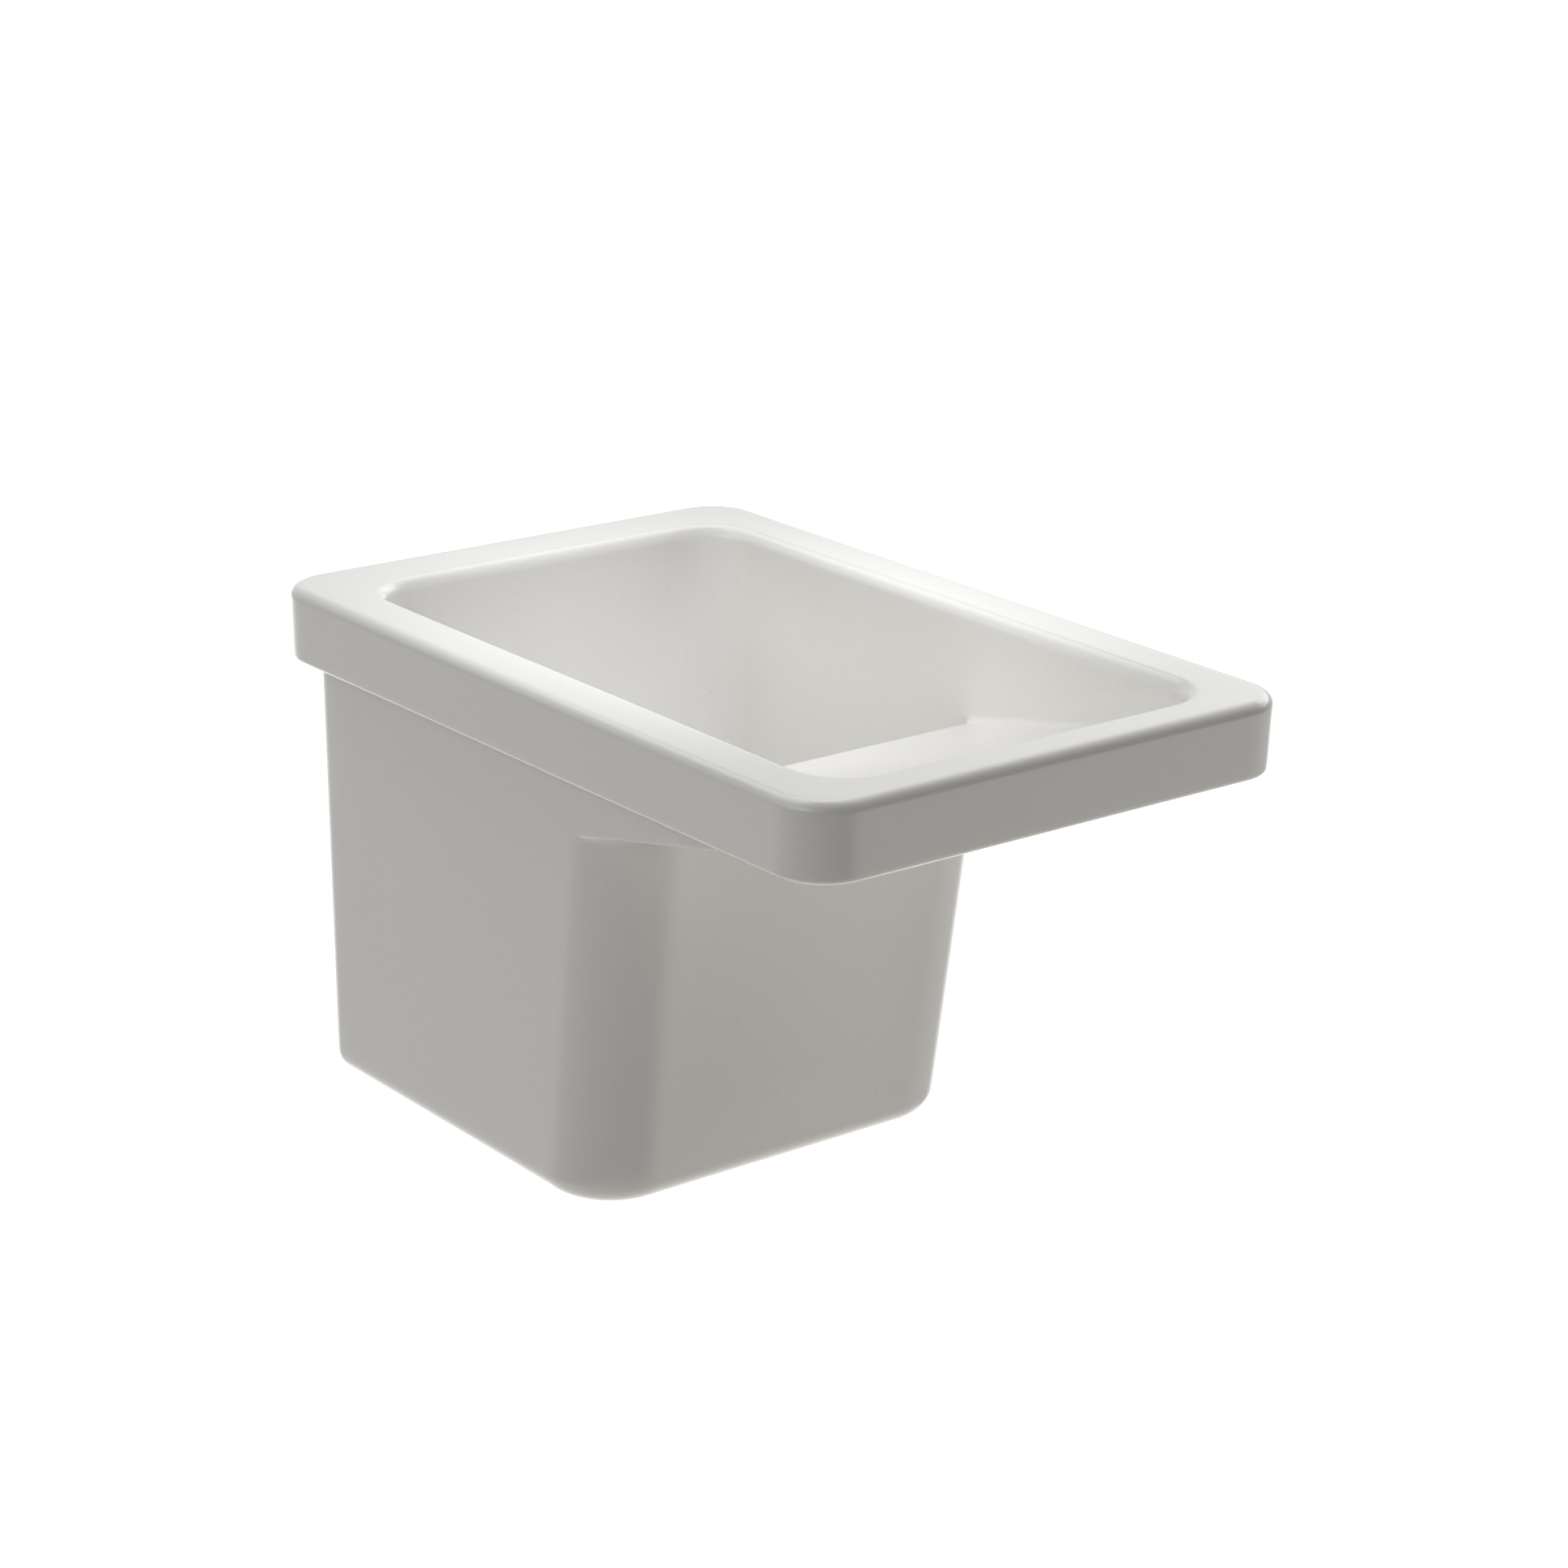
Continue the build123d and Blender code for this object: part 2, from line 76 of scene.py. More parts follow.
class Finish:  # a material, or the world, and its nodes
    def __init__(self, name, tree=None):
        if tree is None:
            self.material = bpy.data.materials.new(name)
            self.material.use_nodes = True
            tree = self.material.node_tree
        self.tree = tree
        self.tree.nodes.clear()

    def node(self, kind, settings=None, inputs=None, out=0):
        made = self.tree.nodes.new(kind)
        for key, value in (settings or {}).items():
            if key == "stops":
                ramp = made.color_ramp.elements  # a new ramp has two stops already
                for index, (place, colour) in enumerate(value):
                    stop = ramp[index] if index < len(ramp) else ramp.new(place)
                    stop.position, stop.color = place, (*colour, 1)
            else:
                setattr(made, key, value)
        for key, value in (inputs or {}).items():
            if isinstance(value, Wire):
                self.tree.links.new(value.socket, made.inputs[key])
            else:
                made.inputs[key].default_value = value
        return Wire(self, made.outputs[out])

    def mix(self, factor, first, second):
        return self.node("ShaderNodeMix", {"data_type": "RGBA"}, {0: factor, 6: first, 7: second}, out=2)

    def added(self, first, second):  # colours
        return self.node("ShaderNodeVectorMath", {"operation": "ADD"}, {0: first, 1: second})

    def step(self, value, low, high):  # 0 below low, 1 above high, smooth between them
        smooth = {"interpolation_type": "SMOOTHSTEP"}
        return self.node("ShaderNodeMapRange", smooth, {0: value, 1: low, 2: high})

    def clamped(self, value):  # kept between 0 and 1
        return self.node("ShaderNodeClamp", {}, {0: value})

    def place(self):  # object coordinates, in metres of the shared frame
        return self.node("ShaderNodeTexCoord", out="Object")

    def parts(self, vector):
        return [self.node("ShaderNodeSeparateXYZ", {}, {0: vector}, out=axis) for axis in range(3)]

    def noise(self, scale, detail=2.0, roughness=0.5, where=None):
        return self.node("ShaderNodeTexNoise", {}, {
            "Vector": where or self.place(), "Scale": scale, "Detail": detail, "Roughness": roughness})

    def bump(self, height, strength, distance):
        return self.node("ShaderNodeBump", {}, {
            "Strength": strength, "Distance": distance, "Height": height})

    def aroundWaste(self, across, turning, along):
        # place on a turned piece as (distance from the waste's axis, angle, height), each times its own
        # number, so that a noise read there runs in rings like the marks of a spinning tool
        x, y, z = self.parts(self.place())
        y = y - sink["drainPlace"] * mm
        angle = self.maths("ARCTAN2", y, x)
        radius = (x * x + y * y) ** 0.5
        return self.node("ShaderNodeCombineXYZ", {}, {
            0: radius * across, 1: angle * turning, 2: z * along})

    def maths(self, operation, first, second=0.0):
        return self.node("ShaderNodeMath", {"operation": operation}, {0: first, 1: second})

    def surface(self, **inputs):
        named = {key.replace("_", " "): value for key, value in inputs.items()}
        self.finishWith(self.node("ShaderNodeBsdfPrincipled", {}, named))
        return self.material

    def finishWith(self, shader):
        output = self.tree.nodes.new("ShaderNodeOutputMaterial")
        self.tree.links.new(shader.socket, output.inputs["Surface"])


# the glazed ceramic piece, in millimetres until it goes into the mesh: one closed surface of rings that
# climb the outside, turn over the rim, go down the bowl and come back through the hole for the waste
sink = {
    "rimHalf": 195.0, "rimDepth": 600.0, "rimHeight": 52.0, "rimCorner": 36.0, "rimDraft": 1.0,
    "rimRound": 8.0, "footRound": 4.0, "rollRound": 9.0, "rimWall": 14.0, "apronWall": 12.0,
    "bodyHalf": 165.4, "bodyFoot": -318.0, "bodyDraft": 6.3, "frontTop": -373.0, "frontLean": 42.0,
    "frontCorner": 52.0, "backCorner": 22.0, "bodyRound": 18.0,
    # the front wall bows out by frontBow over bowHalf to either side, less at its foot and its top
    "frontBow": 2.0, "bowHalf": 113.0, "bowFoot": 70.0, "bowTop": (-34.0, -80.0),
    "shelfSlope": 0.218, "shelfStart": 23.0, "shelfWall": 19.0, "shelfEdge": 2.5, "shelfJoint": 12.0,
    "jointLevels": (-66.0, -34.0),  # between these the rings lie close, for the joint under the shelf
    "shelfSide": 6.0, "creaseSoft": 110.0, "creaseShift": (2.5, -0.5),
    # how far behind the front wall, and to either side of wallTop, the corners' radii change over
    "shelfFade": (2.0, 70.0), "creaseFade": (-16.0, 4.0), "rowGap": 4.2,
    "innerHalf": 151.0, "innerDraft": 4.0, "innerFront": -565.0, "innerBack": -54.0, "innerCorner": 36.0,
    "frontDraft": (0.1, 0.3),  # how far the inside front stands back at its top and at the shelf
    "bowlRound": 14.0, "creaseRound": 6.0, "wallTop": -340.0, "wallFoot": -313.0, "floor": -300.0,
    "drainPlace": -175.5, "drainRecess": 58.0, "recessDepth": 3.2, "recessRound": 0.4,
    "drainHole": 45.0, "drainRound": 0.8,
    "ribHalf": 8.0, "skirt": 20.0, "pocketReach": -38.0, "webFoot": 25.0, "webDepth": 20.0,
    "pocketRound": 8.0, "hollowRound": 4.0, "roomFoot": 15.0, "roomRound": 3.0,
    "cutPast": 5.0,  # how far a cut starts outside the surface
    # the unevenness: its size, three waves as two lengths and a shift, and where it starts and is full
    "warp": 0.25, "waves": ((39, 71, 1.3), (47, -58, 0.4), (41, 66, 2.1)),
    "warpFromWall": (-45.0, -70.0), "warpFromDrain": (70.0, 110.0),
}
tightRound = 0.3  # the smallest radius of a cut's corner
# how many steps a ring has on a side, a front corner, the front, a back corner and the back
ringSteps = {"side": 40, "frontCorner": 24, "front": 40, "backCorner": 16, "back": 32}


def ringPattern():
    # A ring is a rectangle with a quarter ellipse in each corner. Each sample keeps how far across (gx) and
    # how far forward (fy) its corner's centre lies, which way it stands from there (ux, uy), and whether it
    # belongs to the front.
    side, frontCorner, front, backCorner, back = ringSteps.values()
    parts = []
    for count, acrossEnds, forwardEnds, angles, isFront in (
            (side, (1, 1), (0, 1), (0, 0), 0), (frontCorner, (1, 1), (1, 1), (0, -90), 1),
            (front, (1, -1), (1, 1), (-90, -90), 1), (frontCorner, (-1, -1), (1, 1), (-90, -180), 1),
            (side, (-1, -1), (1, 0), (-180, -180), 0), (backCorner, (-1, -1), (0, 0), (-180, -270), 0),
            (back, (-1, 1), (0, 0), (-270, -270), 0), (backCorner, (1, 1), (0, 0), (-270, -360), 0)):
        step = np.arange(count) / count
        turn = np.radians(angles[0] + (angles[1] - angles[0]) * step)
        parts.append(np.stack([acrossEnds[0] + (acrossEnds[1] - acrossEnds[0]) * step,
                               forwardEnds[0] + (forwardEnds[1] - forwardEnds[0]) * step,
                               np.cos(turn), np.sin(turn), np.full(count, isFront)]))
    return np.concatenate(parts, axis=1)


pattern = ringPattern()


def ringsAt(level, half, front, back, frontX, frontY, backR):
    # One ring for each entry of the arrays. x = gx (half - rx) + ux rx, and y is the same along the depth,
    # where rx and ry are the corner's two radii.
    level, half, front, back, frontX, frontY, backR = np.broadcast_arrays(
        *[np.atleast_1d(np.asarray(a, float)) for a in (level, half, front, back, frontX, frontY, backR)])
    gx, fy, ux, uy, isFront = pattern
    rx = np.where(isFront > 0, frontX[:, None], backR[:, None])
    ry = np.where(isFront > 0, frontY[:, None], backR[:, None])
    rearCentre, frontCentre = (back - backR)[:, None], (front + frontY)[:, None]
    x = gx * (half[:, None] - rx) + ux * rx
    y = rearCentre + fy * (frontCentre - rearCentre) + uy * ry
    return np.stack([x, y, np.repeat(level[:, None], x.shape[1], 1)], axis=2)


def eased(low, high, value):
    # 0 before low, 1 after high, 3 s^2 - 2 s^3 between them
    share = np.clip((value - low) / (high - low), 0, 1)
    return share * share * (3 - 2 * share)


def between(first, last, count):
    # rings on straight lines from one ring to another, both ends left out
    share = np.linspace(0, 1, count + 2)[1:-1, None, None]
    return first[None] * (1 - share) + last[None] * share


def outerHalf(level):
    return sink["bodyHalf"] + sink["bodyDraft"] * level / -sink["bodyFoot"]


def innerHalf(level):
    drop = (sink["rimHeight"] - level) / (sink["rimHeight"] - sink["floor"])
    return sink["innerHalf"] - sink["innerDraft"] * drop


def outerWall():
    # The outside of the bowl, from its foot up to the rim. The front wall is y = frontTop + lean * level,
    # and the shelf's underside is the line shelfLine. At each level a sample of the front stands on
    # whichever of the two is further forward, and an arc that touches both joins them.
    s = sink
    turn = np.linspace(0, math.pi / 2, 10)
    foot, r = s["bodyFoot"], s["bodyRound"]
    jointLow, jointHigh = s["jointLevels"]
    climb = np.concatenate([np.linspace(start, end, count)[1:] for start, end, count in (
        (foot + r, jointLow, 26), (jointLow, jointHigh, 33), (jointHigh, 0, 30))])
    level = np.concatenate([foot + r * (1 - np.cos(turn)), climb])
    inset = np.concatenate([r * (1 - np.sin(turn)), np.zeros(len(climb))])
    lean = -s["frontLean"] / -foot
    wall = s["frontTop"] + lean * level
    rings = ringsAt(level, outerHalf(level) - inset, wall + inset, -inset, s["frontCorner"] - inset,
                    s["frontCorner"] - inset, s["backCorner"] - inset)
    fy, ux, uy, isFront = pattern[1:]
    x, y = rings[:, :, 0], rings[:, :, 1]
    onFace = isFront * (uy < -0.99)
    bow = s["frontBow"] * (1 - np.clip(x / s["bowHalf"], -1, 1) ** 2) ** 2 * onFace
    y = y - bow * (eased(foot, foot + s["bowFoot"], level) * eased(*s["bowTop"], level))[:, None]
    underStart = s["shelfStart"] - s["shelfWall"]
    shelf = (s["innerFront"] - (level - underStart) / s["shelfSlope"])[:, None]
    edge = s["shelfEdge"]
    fromSide = np.clip(outerHalf(level)[:, None] - np.abs(x), 0, edge)
    shelfLine = shelf + edge - np.sqrt(edge ** 2 - (edge - fromSide) ** 2)
    # the joint's arc, in heights measured from where wall and underside meet
    under = -1 / s["shelfSlope"]
    wallNormal = -np.array([1, -lean]) / math.hypot(1, lean)
    underNormal = -np.array([1, -under]) / math.hypot(1, under)
    joint = s["shelfJoint"]
    centre = np.linalg.solve(np.array([wallNormal, underNormal]), np.array([joint, joint]))
    low, high = centre[1] - joint * wallNormal[1], centre[1] - joint * underNormal[1]
    height = (y - shelfLine) / (lean - under)
    arc = y - lean * height + centre[0] + np.sqrt(np.clip(joint ** 2 - (height - centre[1]) ** 2, 0, None))
    joined = np.where(height < low, y, np.where(height > high, shelfLine, arc))
    isSide = (isFront < 1) & (np.abs(ux) > 0.999) & (fy > 0)
    rear = -s["backCorner"] * np.ones_like(level)[:, None]
    reach = np.minimum((wall + s["frontCorner"])[:, None], shelf + edge)
    y = np.where(isFront > 0, joined, np.where(isSide, rear + fy * (reach - rear), y))
    return np.stack([x, y, rings[:, :, 2]], axis=2)


def rimRings():
    # Lower edge, apron, top edge, flat top and the roll into the bowl. Each edge is a quarter circle: the
    # ring is inset by r (1 - sin a) while it climbs by r (1 - cos a).
    s = sink
    turn = np.linspace(0, math.pi / 2, 7)
    r, corner = s["footRound"], s["rimCorner"]
    inset, level = r * (1 - np.sin(turn)), r * (1 - np.cos(turn))
    half = s["rimHalf"] - s["rimDraft"]
    foot = ringsAt(level, half - inset, -s["rimDepth"] + s["rimDraft"] + inset, -inset, corner - inset,
                   corner - inset, corner - inset)
    flush = ringsAt(level, half, -s["rimDepth"] + s["rimDraft"], 0, corner, corner, corner)
    uy, isFront = pattern[3:]
    atWall = (eased(0.5, 0.95, uy) * (isFront < 1))[:, None]  # the edge stays flush where it meets the wall
    foot = foot * (1 - atWall) + flush * atWall
    level = np.linspace(r, s["rimHeight"] - s["rimRound"], 9)[1:]
    flare = s["rimDraft"] * level / (s["rimHeight"] - s["rimRound"])
    apron = ringsAt(level, half + flare, -s["rimDepth"] + s["rimDraft"] - flare, 0, corner, corner, corner)
    turn = np.linspace(0, math.pi / 2, 12)[1:]
    r = s["rimRound"]
    inset, level = r * (1 - np.cos(turn)), s["rimHeight"] - r * (1 - np.sin(turn))
    top = ringsAt(level, s["rimHalf"] - inset, -s["rimDepth"] + inset, -inset, corner - inset,
                  corner - inset, corner - inset)
    turn = np.linspace(0, math.pi / 2, 12)
    r = s["rollRound"]
    out, level = r * (1 - np.sin(turn)), s["rimHeight"] - r * (1 - np.cos(turn))
    corner = s["innerCorner"] + out
    roll = ringsAt(level, innerHalf(level) + out, s["innerFront"] - out, s["innerBack"] + out, corner,
                   corner, corner)
    return np.concatenate([foot, apron, top, between(top[-1], roll[0], 5), roll])


def bend(before, point, after, radius, steps, most=math.inf):
    # The arc that rounds a corner. Its ends lie r / tan(half the corner's angle) along the two lines, or at
    # most the given share of the shorter one, and it is the turn from one end to the other round its middle.
    toA, toB = before - point, after - point
    lengths = np.linalg.norm(toA), np.linalg.norm(toB)
    toA, toB = toA / lengths[0], toB / lengths[1]
    halfAngle = math.acos(np.clip(toA @ toB, -1, 1)) / 2
    if radius <= 0 or halfAngle > 1.55:  # sharp, or hardly a corner
        return point[None]
    reach = min(radius / math.tan(halfAngle), most * min(lengths))
    radius = reach * math.tan(halfAngle)
    middle = point + (toA + toB) / np.linalg.norm(toA + toB) * radius / math.sin(halfAngle)
    a, b = point + toA * reach - middle, point + toB * reach - middle
    sweep, share = math.pi - 2 * halfAngle, np.linspace(0, 1, steps)[:, None]
    return middle + (np.sin((1 - share) * sweep) * a + np.sin(share * sweep) * b) / math.sin(sweep)


def frontLine():
    # The inside front in the middle section as (y, z): wall, arc, shelf, crease, leaning wall. Each bend is
    # an arc of its own radius that touches both of its lines.
    s = sink
    creaseLevel = s["shelfStart"] - s["shelfSlope"] * (s["wallTop"] - s["innerFront"])
    corners = np.array([[s["innerFront"] + s["frontDraft"][0], s["rimHeight"] - s["rollRound"]],
                        [s["innerFront"] + s["frontDraft"][1], s["shelfStart"]],
                        [s["wallTop"] + s["creaseShift"][0], creaseLevel + s["creaseShift"][1]],
                        [s["wallFoot"], s["floor"]]])
    line = [corners[:1]]
    for place, radius in ((1, s["bowlRound"]), (2, s["creaseRound"])):
        arc = bend(*corners[place - 1:place + 2], radius, 12)
        gap = arc[0] - line[-1][-1]
        steps = max(2, int(np.linalg.norm(gap) / s["rowGap"]))
        line += [line[-1][-1] + gap * np.linspace(0, 1, steps + 1)[1:-1, None], arc]
    last = line[-1][-1]
    end = corners[3] + (last - corners[3]) * (s["bowlRound"] / (last[1] - s["floor"]))
    line.append(last + (end - last) * np.linspace(0, 1, 36)[1:, None])
    return np.concatenate(line)


def innerWall():
    # From the roll down to the floor. Every ring's front end follows frontLine, its sides and back lean in a
    # little. Along the shelf the front corners are long ellipses, which is how a level cuts the soft joint
    # between the sloping shelf and the side wall.
    s = sink
    line = frontLine()
    front, level = line[1:, 0], line[1:, 1]
    r, side = s["bowlRound"], s["shelfSide"]
    long = side / math.sin(math.atan(s["shelfSlope"]))
    shelfFrom, shelfFull = s["innerFront"] + np.array(s["shelfFade"])
    creaseFrom, creaseFull = s["wallTop"] + np.array(s["creaseFade"])
    onShelf = eased(shelfFrom, shelfFull, front)
    pastCrease = eased(creaseFrom, creaseFull, front)
    crease = level[np.argmax(front > creaseFrom)]
    cornerX = s["innerCorner"] + (side - s["innerCorner"]) * onShelf
    cornerX = cornerX + (r - side) * eased(crease, crease - s["creaseSoft"], level)
    cornerY = s["innerCorner"] + (long - s["innerCorner"]) * onShelf
    cornerY = cornerY + (cornerX - cornerY) * pastCrease
    half = innerHalf(level)
    back = s["innerBack"] - (s["innerHalf"] - half)
    wall = ringsAt(level, half, front, back, cornerX, cornerY, s["innerCorner"])
    turn = np.linspace(0, math.pi / 2, 10)[1:]
    inset, drop = r * (1 - np.cos(turn)), r * np.sin(turn)
    base = front[-1] + (s["wallFoot"] - front[-1]) * drop / r
    corner = np.clip(r - inset, 2 * tightRound, None)
    foot = ringsAt(level[-1] - drop, half[-1] - inset, base + inset, back[-1] - inset, corner, corner,
                   s["innerCorner"] - inset)
    return np.concatenate([wall, foot])


def circleRing(like, radius, level):
    # the point of a circle round the waste that lies in the direction of each point of another ring
    away = like[:, :2] - np.array([0, sink["drainPlace"]])
    away = away / np.linalg.norm(away, axis=1)[:, None] * radius
    return np.stack([away[:, 0], away[:, 1] + sink["drainPlace"], np.full(len(like), level)], axis=1)


def drainRings(last, first):
    # floor, recess for the flange, hole and underside: from the bowl's outline into circles and out again
    s = sink
    floor, recess, hole, r = s["floor"], s["drainRecess"], s["drainHole"], s["drainRound"]
    seat, foot, edge = floor - s["recessDepth"], s["bodyFoot"], s["recessRound"]
    lip = [circleRing(last, recess + r * (1 - math.sin(a)), floor - r * (1 - math.cos(a)))
           for a in np.linspace(0, math.pi / 2, 4)]
    low = [circleRing(last, radius, level) for radius, level in (
        (recess, seat + edge), (recess - edge, seat), (hole + r, seat), (hole, seat - r),
        (hole, foot + r), (hole + r, foot))]
    return np.concatenate([between(last, lip[0], 9), np.array(lip + low), between(low[-1], first, 8)])


def slightlyUneven(points):
    # Fired ceramic is never quite true: sum three long waves and move each point inwards by up to warp along
    # its own normal, fading out beside the wall and round the waste.
    alongRow, acrossRows = [np.roll(points, -1, axis) - np.roll(points, 1, axis) for axis in (1, 0)]
    normal = np.cross(acrossRows, alongRow)
    normal /= np.linalg.norm(normal, axis=2)[:, :, None] + 1e-9
    x, y, z = np.moveaxis(points, 2, 0)
    wave = sum(np.sin(first / one + second / other + shift) for first, second, (one, other, shift)
               in zip((x, y, z), (y, z, x), sink["waves"])) / 3
    fromDrain = np.hypot(x, y - sink["drainPlace"])
    fade = eased(*sink["warpFromWall"], y) * eased(*sink["warpFromDrain"], fromDrain)
    return points - normal * (sink["warp"] * fade * (0.5 + 0.5 * wave))[:, :, None]


def meshPiece(name, points, faces):
    # faces is one array for faces of the same size, or a list of such arrays
    groups = faces if isinstance(faces, list) else [faces]
    sizes = np.concatenate([np.full(len(group), group.shape[1]) for group in groups])
    corners = np.concatenate([group.ravel() for group in groups]).astype(np.int32)
    mesh = bpy.data.meshes.new(name)
    mesh.vertices.add(len(points))
    mesh.vertices.foreach_set("co", np.ascontiguousarray(points * mm, np.float32).ravel())
    mesh.loops.add(len(corners))
    mesh.loops.foreach_set("vertex_index", corners)
    mesh.polygons.add(len(sizes))
    mesh.polygons.foreach_set("loop_start", (np.cumsum(sizes) - sizes).astype(np.int32))
    mesh.update(calc_edges=True)
    mesh.validate()
    piece = bpy.data.objects.new(name, mesh)
    bpy.context.scene.collection.objects.link(piece)
    return piece


def gridFaces(rows, columns, closedRows=False, start=0):
    # quads between neighbouring samples of a grid whose columns close on themselves
    index = start + np.arange(rows * columns).reshape(rows, columns)
    right, below = np.roll(index, -1, 1), np.roll(index, -1, 0)
    quads = np.stack([index, below, np.roll(right, -1, 0), right], axis=2)
    return (quads if closedRows else quads[:-1]).reshape(-1, 4)


def ringPiece(name, rings):
    # rings of one size as a closed surface, the last one joined to the first
    return meshPiece(name, rings.reshape(-1, 3), gridFaces(*rings.shape[:2], closedRows=True))


def closedStack(blocks):
    # several stacks of rings of one size as closed blocks, each with a flat face on either end
    points, faces, start = [], [], 0
    for rings in blocks:
        rows, columns = rings.shape[:2]
        index = start + np.arange(rows * columns).reshape(rows, columns)
        points.append(rings.reshape(-1, 3))
        faces += [gridFaces(rows, columns, start=start), index[:1], index[-1:, ::-1]]
        start += rows * columns
    return np.concatenate(points), faces


def softBox(low, high, radii, levels, inset, steps=6):
    # A block whose outline is a rectangle with four rounded corners and whose rings are inset near one end.
    # low and high give the outline for each ring, radii the four corners.
    rings = []
    for (x0, y0), (x1, y1), level, cut in zip(low, high, levels, inset):
        ring = []
        places = (x1, y0, -90), (x1, y1, 0), (x0, y1, 90), (x0, y0, 180)
        for (cx, cy, turn), radius in zip(places, radii):
            r = max(radius - cut, tightRound)
            angle = np.radians(turn + np.linspace(0, 90, steps))
            inX, inY = (-1 if cx == x1 else 1) * (r + cut), (-1 if cy == y1 else 1) * (r + cut)
            ring.append(np.stack([cx + inX + r * np.cos(angle), cy + inY + r * np.sin(angle),
                                  np.full(steps, level)], axis=1))
        rings.append(np.concatenate(ring))
    return np.array(rings)


def hollows():
    # What is cut from the ring surface: the two channels beside the bowl under the rim, and the two pockets
    # in the back, with the room behind the web that hangs on the hooks.
    s = sink
    turn = np.linspace(0, math.pi / 2, 6)
    r = s["hollowRound"]
    channels, pockets, webRooms = [], [], []
    ceiling, floor = s["rimHeight"] - s["rimWall"], s["floor"]
    levels = np.concatenate([[-s["cutPast"]], ceiling - r + r * np.sin(turn)])
    inset = np.concatenate([[0], r * (1 - np.cos(turn))])
    y0, y1 = -s["rimDepth"] + s["apronWall"], -s["apronWall"]
    outer, corner = s["rimHalf"] - s["apronWall"], s["rimCorner"] - s["apronWall"]
    channel = softBox([(outerHalf(z), y0) for z in levels], [(outer, y1)] * len(levels),
                      (corner, corner, tightRound, tightRound), levels, inset)
    channel[:, :, 0] = np.maximum(channel[:, :, 0], (outerHalf(levels) + inset)[:, None])
    far = outerHalf(floor) - s["skirt"]
    reach = s["pocketReach"]
    depths = np.concatenate([[s["cutPast"]], reach + r - r * np.sin(turn)])
    count = len(depths)
    corners = (s["pocketRound"], tightRound, tightRound, s["pocketRound"])
    pocket = softBox([(s["ribHalf"], floor)] * count, [(far, s["webFoot"])] * count, corners, depths, inset)
    corners = (tightRound, s["roomRound"], s["roomRound"], tightRound)
    depths = np.concatenate([[-s["webDepth"]], depths[1:]])
    room = softBox([(s["ribHalf"], s["roomFoot"])] * count, [(far, ceiling)] * count, corners, depths, inset)
    for side in (1, -1):
        channels.append((channel * [side, 1, 1])[:, ::-side])
        for stack, rings in ((pockets, pocket), (webRooms, room)):
            stack.append((rings[:, :, [0, 2, 1]] * [side, 1, 1])[:, ::-side])
    return closedStack(channels + pockets), closedStack(webRooms)


def bakeModifiers(piece):
    # the mesh as its modifiers leave it, in place of the modifiers
    graph = bpy.context.evaluated_depsgraph_get()
    finished = bpy.data.meshes.new_from_object(piece.evaluated_get(graph))
    piece.modifiers.clear()
    old, piece.data = piece.data, finished
    bpy.data.meshes.remove(old)


def softShade(piece, degrees):
    # smooth faces, with every edge sharper than the angle kept crisp
    piece.data.polygons.foreach_set("use_smooth", np.ones(len(piece.data.polygons), bool))
    piece.data.set_sharp_from_angle(angle=math.radians(degrees))


def makeBasin():
    # up the outside, over the rim, down the bowl and back through the hole, then the hollows are cut out
    outer, rim, inner = outerWall(), rimRings(), innerWall()
    underRim, drain = between(outer[-1], rim[0], 3), drainRings(inner[-1], outer[0])
    basin = ringPiece("glazed_basin", slightlyUneven(np.concatenate([outer, underRim, rim, inner, drain])))
    for points, faces in hollows():
        combined(basin, meshPiece("hollow", points, faces), "DIFFERENCE")
    finished(basin, "sink", ["basin"], "glaze", 40)


# colours of glaze and clay, and where the glaze gives way to bare clay, in metres
glazeLook = {
    "white": ((0.895, 0.89, 0.875, 1), (0.91, 0.905, 0.89, 1)), "pinhole": (0.62, 0.57, 0.50, 1),
    "clay": ((0.70, 0.65, 0.57, 1), (0.80, 0.76, 0.69, 1)), "stain": (0.60, 0.55, 0.48, 1),
    "wallFace": (-0.0022, -0.0012), "pocketDepth": (-0.045, -0.041), "pocketHalf": (0.139, 0.141),
    "pocketTop": (0.042, 0.044), "pocketFoot": (-0.302, -0.3),
}


def glazeFinish():
    # White glaze over cream clay. The glaze is a little uneven, and stops short of the wall
    # face and of the pockets in the back, where the fired clay is left bare.
    look = glazeLook
    glaze = Finish("glaze")
    x, y, z = glaze.parts(glaze.place())
    cloud = glaze.noise(9.0, 3.0)
    speck = glaze.step(glaze.noise(380.0, 0.0), 0.76, 0.80)
    white = glaze.mix(cloud, *look["white"])
    white = glaze.mix(speck * 0.12, white, look["pinhole"])
    grain = glaze.noise(900.0, 3.0, 0.7)
    clay = glaze.mix(grain, *look["clay"])
    clay = glaze.mix(glaze.step(glaze.noise(30.0, 4.0), 0.45, 0.7) * 0.3, clay, look["stain"])
    edge = (glaze.noise(60.0, 3.0) - 0.5) * 0.004
    atWall = glaze.step(y + edge, *look["wallFace"])
    inPocket = glaze.step(y + edge, *look["pocketDepth"])
    inPocket = inPocket * (1 - glaze.step(abs(x) + edge, *look["pocketHalf"]))
    inPocket = inPocket * (1 - glaze.step(z + edge, *look["pocketTop"]))
    inPocket = inPocket * glaze.step(z + edge, *look["pocketFoot"])
    bare = glaze.maths("MAXIMUM", atWall, inPocket)
    ripple = glaze.noise(38.0, 1.0) * 0.8
    height = ripple * (1 - bare) + grain * bare * 0.5
    return glaze.surface(
        Base_Color=glaze.mix(bare, white, clay), Roughness=0.05 + 0.75 * bare, IOR=1.54,
        Normal=glaze.bump(height, 0.10, 0.0004))


